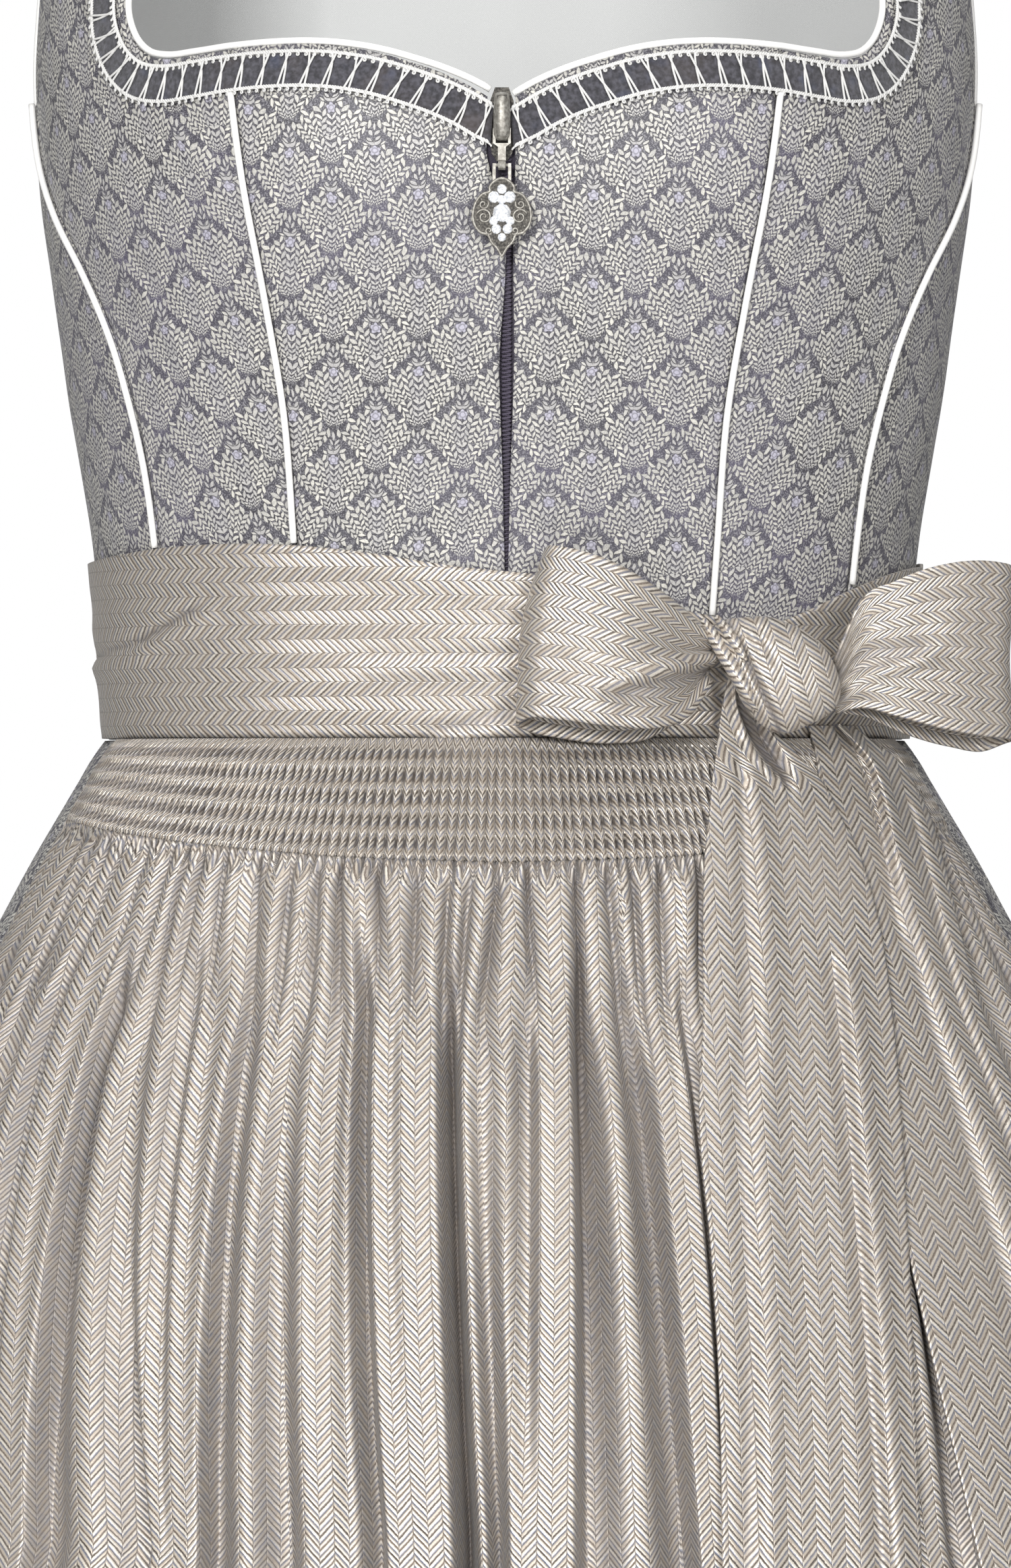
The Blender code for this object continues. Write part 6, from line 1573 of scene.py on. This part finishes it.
# Zip: a woven tape with a coil, the slider's domed bridge, and a pendant with a rim, scrolls and stones.
zipper = {
    "centre": 0.3,
    "halfWidth": 6.0,
    "bottom": 4.0,
    "top": 186.0,
    "tapeOut": -2.3,
    "tapeFlat": (0.0125, 0.185),
    "coilOut": -1.55,
    "coilHalf": 1.35,
    "coilPitch": 1.25,
    "coilRadius": 0.34,
    "front": 124.2,
    "pullCentre": -1.1,
    "bridge": {"middle": 188.0, "halfHeight": 6.7, "halfWidth": 1.85, "out": 6.5},
    "pendantOut": 4.35,
    "pendantMiddle": 158.0,
    "rim": rows("x height", (
        (0.0, 169.3), (1.2, 169.0), (2.6, 168.1), (3.7, 166.6), (3.75, 165.2), (6.1, 164.3), (8.0, 161.7),
        (8.8, 158.2), (8.2, 155.1), (6.4, 152.9), (4.2, 152.2), (3.2, 150.0), (1.5, 148.2), (0.0, 145.6))),
    "rimRadius": 0.42,
    "stones": rows("x height size", (
        (0.0, 166.0, 1.6), (-2.4, 163.6, 1.9), (2.4, 163.6, 1.9), (0.0, 162.8, 1.5), (0.0, 158.8, 2.9),
        (-2.5, 156.4, 1.5), (2.5, 156.4, 1.5), (-1.7, 153.9, 1.6), (1.7, 153.9, 1.6), (0.0, 151.4, 1.4))),
    "stoneCut": rows("wide rise", ((0.01, 0.62), (0.5, 0.62), (0.84, 0.36), (1.0, 0.05))),
    "bead": rows("wide rise", ((1.0, 0.0), (0.8, 0.55), (0.35, 0.85), (0.01, 0.95))),
    "beadSize": 0.36,
    "scrolls": rows("x height size turns start", (
        (5.4, 157.6, 2.1, 1.6, 0.4), (5.6, 161.4, 1.3, 1.2, 2.6), (3.9, 153.4, 0.9, 1.1, 4.0))),
    "ring": {"half": 2.35, "top": 173.3, "bottom": 168.7, "out": 3.35, "radius": 0.56},
    "ahead": np.array((0.0, -1.0, 0.0)),
}


# Points on the pendant's face: x from its own middle, height, and how far out.
def onPendant(x, height, out):
    return np.stack(np.broadcast_arrays(x + zipper["pullCentre"], -(zipper["front"] + out), height), axis=-1)


# A cut stone or a bead: rings of points that narrow as they rise from the metal.
def stonePart(x, height, size, sides, profile):
    turn = np.linspace(0, 2 * math.pi, sides + 1)[None, :] + 0.2
    wide, rise = (profile[name][:, None] * size for name in ("wide", "rise"))
    return gridPart(onPendant(x + wide * np.cos(turn), height + wide * np.sin(turn),
                              zipper["pendantOut"] + rise), wraps=True, flip=True)


# The pendant's outline: the rim's table down one side and its mirror image up the other.
def rimLine():
    share = np.linspace(0, 1, 60)
    keys = dict(zipper["rim"], share=np.linspace(0, 1, len(zipper["rim"]["x"])))
    x, height = eased(keys, "share", "x", share), eased(keys, "share", "height", share)
    return np.concatenate((x, -x[-2:0:-1])), np.concatenate((height, height[-2:0:-1]))


# Scrolls: spirals in pairs, whose radius and thread shrink evenly along their turns.
def scrollParts():
    run, parts = np.linspace(0, 1, 48), []
    for middle, level, size, turns, start in zip(*zipper["scrolls"].values()):
        turn = start + run * turns * 2 * math.pi
        reach = size * (1 - run) + 0.3
        for side in (-1, 1):
            path = onPendant(side * (middle + reach * np.cos(turn)), level + reach * np.sin(turn),
                             zipper["pendantOut"] + 0.3)
            parts.append(tubePart(path, 0.34 - 0.08 * run, 6, facing=zipper["ahead"]))
    return parts


# The square wire ring that joins the pendant to the pull tab: four straight sides.
def ringPart():
    ring = zipper["ring"]
    half, top, bottom = ring["half"], ring["top"], ring["bottom"]
    corners = np.array(((-half, top), (-half, bottom), (half, bottom), (half, top)))
    sides = np.roll(corners, -1, axis=0) - corners
    line = (corners[:, None] + sides[:, None] * np.linspace(0, 1, 9)[None, :-1, None]).reshape(-1, 2)
    return tubePart(onPendant(line[:, 0], line[:, 1], ring["out"]), ring["radius"], 8, loops=True,
                    facing=zipper["ahead"])


# The pendant: rim, scrolls, beads and ring in one, a dark plate that narrows inwards, and its stones.
def addPendant():
    x, height = rimLine()
    middle = zipper["pendantMiddle"]
    rim = tubePart(onPendant(x, height, zipper["pendantOut"] + 0.1), zipper["rimRadius"], 8, loops=True,
                   facing=zipper["ahead"])
    beads = [stonePart(side * x[place] * 0.86, height[place] * 0.96 + middle * 0.04, zipper["beadSize"], 6,
                       zipper["bead"]) for place in range(22, 58, 3) for side in (-1, 1)]
    addPiece("pendantScrolls", joined([rim] + scrollParts() + beads + [ringPart()]), paints["silver"],
             body="pendant", weld=True)
    inward = np.linspace(0.02, 0.97, 8)[:, None]
    plate = onPendant(inward * np.append(x, x[0]), middle + inward * (np.append(height, height[0]) - middle),
                      zipper["pendantOut"] + 0.2)
    addPiece("pendantRecess", gridPart(plate, wraps=True), paints["silverDark"], body="pendant")
    stones = [stonePart(across, level, size, 8, zipper["stoneCut"]) for across, level, size in
              zip(*zipper["stones"].values())]
    addPiece("pendantStones", joined(stones), paints["stone"], body="pendant", facets=True)


# The slider's bridge: a dome with squared ends, over the bar of the CAD.
def addBridge():
    bridge = zipper["bridge"]
    u, v = np.linspace(-1, 1, 33)[:, None], np.linspace(-1, 1, 17)[None, :]
    rise = bridge["out"] - 1.0 - 2.4 * np.abs(v) ** 3.0 - 2.2 * np.abs(u) ** 10.0 + 0.9 * (1 - u * u)
    taper = bridge["halfWidth"] * (1 - 0.12 * u * u - 0.08 * u)
    points = onPendant(v * taper, bridge["middle"] + u * bridge["halfHeight"], rise)
    addPiece("zipBridge", gridPart(points, flip=True), paints["silver"], wall=0.8)


# The tape follows the torso just inside the panels, and the coil is a helix along it.
def addZip():
    heights = np.linspace(zipper["bottom"], zipper["top"], 90)[:, None]
    x = zipper["centre"] + np.linspace(-1, 1, 13)[None, :] * zipper["halfWidth"]
    angles = sideAngle(form["torso"], x, heights)
    cloth = np.stack(np.broadcast_arrays(x, heights), axis=-1)
    tape = gridPart(lifted(torso, angles, heights, zipper["tapeOut"] + 0 * x * heights), cloth)
    piece = addPiece("zipTape", tape, paints["tape"], ["zip_tape"], wall=0.7)
    at = np.linspace(zipper["bottom"] + 1, zipper["top"] - 6, 1500)
    turn = at / zipper["coilPitch"] * 2 * math.pi
    x = zipper["centre"] + zipper["coilHalf"] * np.sin(turn)
    coil = lifted(torso, sideAngle(form["torso"], x, at), at, zipper["coilOut"] + 0.35 * np.cos(turn))
    addPiece("zipCoil", tubePart(coil, zipper["coilRadius"], 5), paints["coil"], weld=True)


# The metal solids stay as they are and get the silver finishes.
def finishMetal():
    for node, paint in (("zip_slider", "silverDark"), ("zip_pull_tab", "silver"), ("zip_pendant", "silver")):
        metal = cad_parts[node]
        metal.data.materials.clear()
        metal.data.materials.append(paints[paint])


addZip()
addBridge()
addPendant()
finishMetal()
print("zip made")


# Camera at the photograph's place, a plain floor and soft lights. Metres, watts.
view = {
    "place": (0.0, -2.4, -0.398),
    "sensor": 36.0,
    "seen": 0.50125,
    "floorHeight": -1.0,
    "floorRadius": 2.6,
    "floorTones": (colour(226, 226, 226), colour(236, 236, 236)),
    "backdrop": 1.0,
    "roomLight": 0.22,
    "lights": rows("x y z power size", (
        (-0.7, -2.75, 0.35, 62.0, 0.6), (0.95, -2.7, 0.1, 28.0, 0.7), (0.0, -0.9, 1.9, 20.0, 1.4),
        (0.0, 1.6, 1.5, 12.0, 1.6))),
    "aim": (0.0, 0.0, -0.35),
}


# A new object with its data, linked to the scene.
def linked(name, data):
    made = bpy.data.objects.new(name, data)
    bpy.context.scene.collection.objects.link(made)
    return made


# The lens sees the photograph's width at the middle of the body: sensor times distance over width.
def addCamera():
    camera = linked("camera", bpy.data.cameras.new("camera"))
    camera.data.sensor_width = view["sensor"]
    camera.data.lens = view["sensor"] * -view["place"][1] / view["seen"]
    camera.location = view["place"]
    camera.rotation_euler = (math.radians(90), 0.0, 0.0)
    bpy.context.scene.camera = camera
    bpy.context.scene.view_settings.view_transform = "Standard"


# A round floor in two pale tones.
def addFloor():
    turn = np.linspace(0, 2 * math.pi, 65)[None, :]
    radius = np.linspace(0.001, view["floorRadius"] * 1000, 12)[:, None] / 1000
    part = gridPart(np.stack(np.broadcast_arrays(radius * np.cos(turn), radius * np.sin(turn),
                                                 view["floorHeight"]), axis=-1), wraps=True)
    mesh = bpy.data.meshes.new("floor")
    mesh.from_pydata(part["points"].tolist(), [], part["quads"].tolist())
    paint = Paint("paleFloor")
    mesh.materials.append(paint.finish(paint.mix(paint.noise(30.0), *view["floorTones"]), 0.7))
    linked("floor", mesh)


# The room is white to the camera and much dimmer as a light.
def addRoom():
    world = bpy.data.worlds.new("studio")
    bpy.context.scene.world = world
    world.use_nodes = True
    nodes, links = world.node_tree.nodes, world.node_tree.links
    seen = nodes.new("ShaderNodeLightPath").outputs["Is Camera Ray"]
    strength = nodes.new("ShaderNodeMapRange")
    strength.inputs["To Min"].default_value = view["roomLight"]
    strength.inputs["To Max"].default_value = view["backdrop"]
    links.new(seen, strength.inputs["Value"])
    links.new(strength.outputs[0], nodes["Background"].inputs["Strength"])
    nodes["Background"].inputs["Color"].default_value = (1.0, 1.0, 1.0, 1.0)


# Soft square lamps, each turned to face the aim.
def addLamps():
    for number, (x, y, z, power, size) in enumerate(zip(*view["lights"].values())):
        lamp = linked(f"softbox{number}", bpy.data.lights.new(f"softbox{number}", "AREA"))
        lamp.data.energy, lamp.data.size = power, size
        lamp.location = (x, y, z)
        away = np.array((x, y, z)) - np.array(view["aim"])
        lamp.rotation_euler = (math.atan2(np.hypot(away[0], away[1]), away[2]), 0.0,
                               math.atan2(away[1], away[0]) + math.pi / 2)


addCamera()
addFloor()
addRoom()
addLamps()
print("studio made")
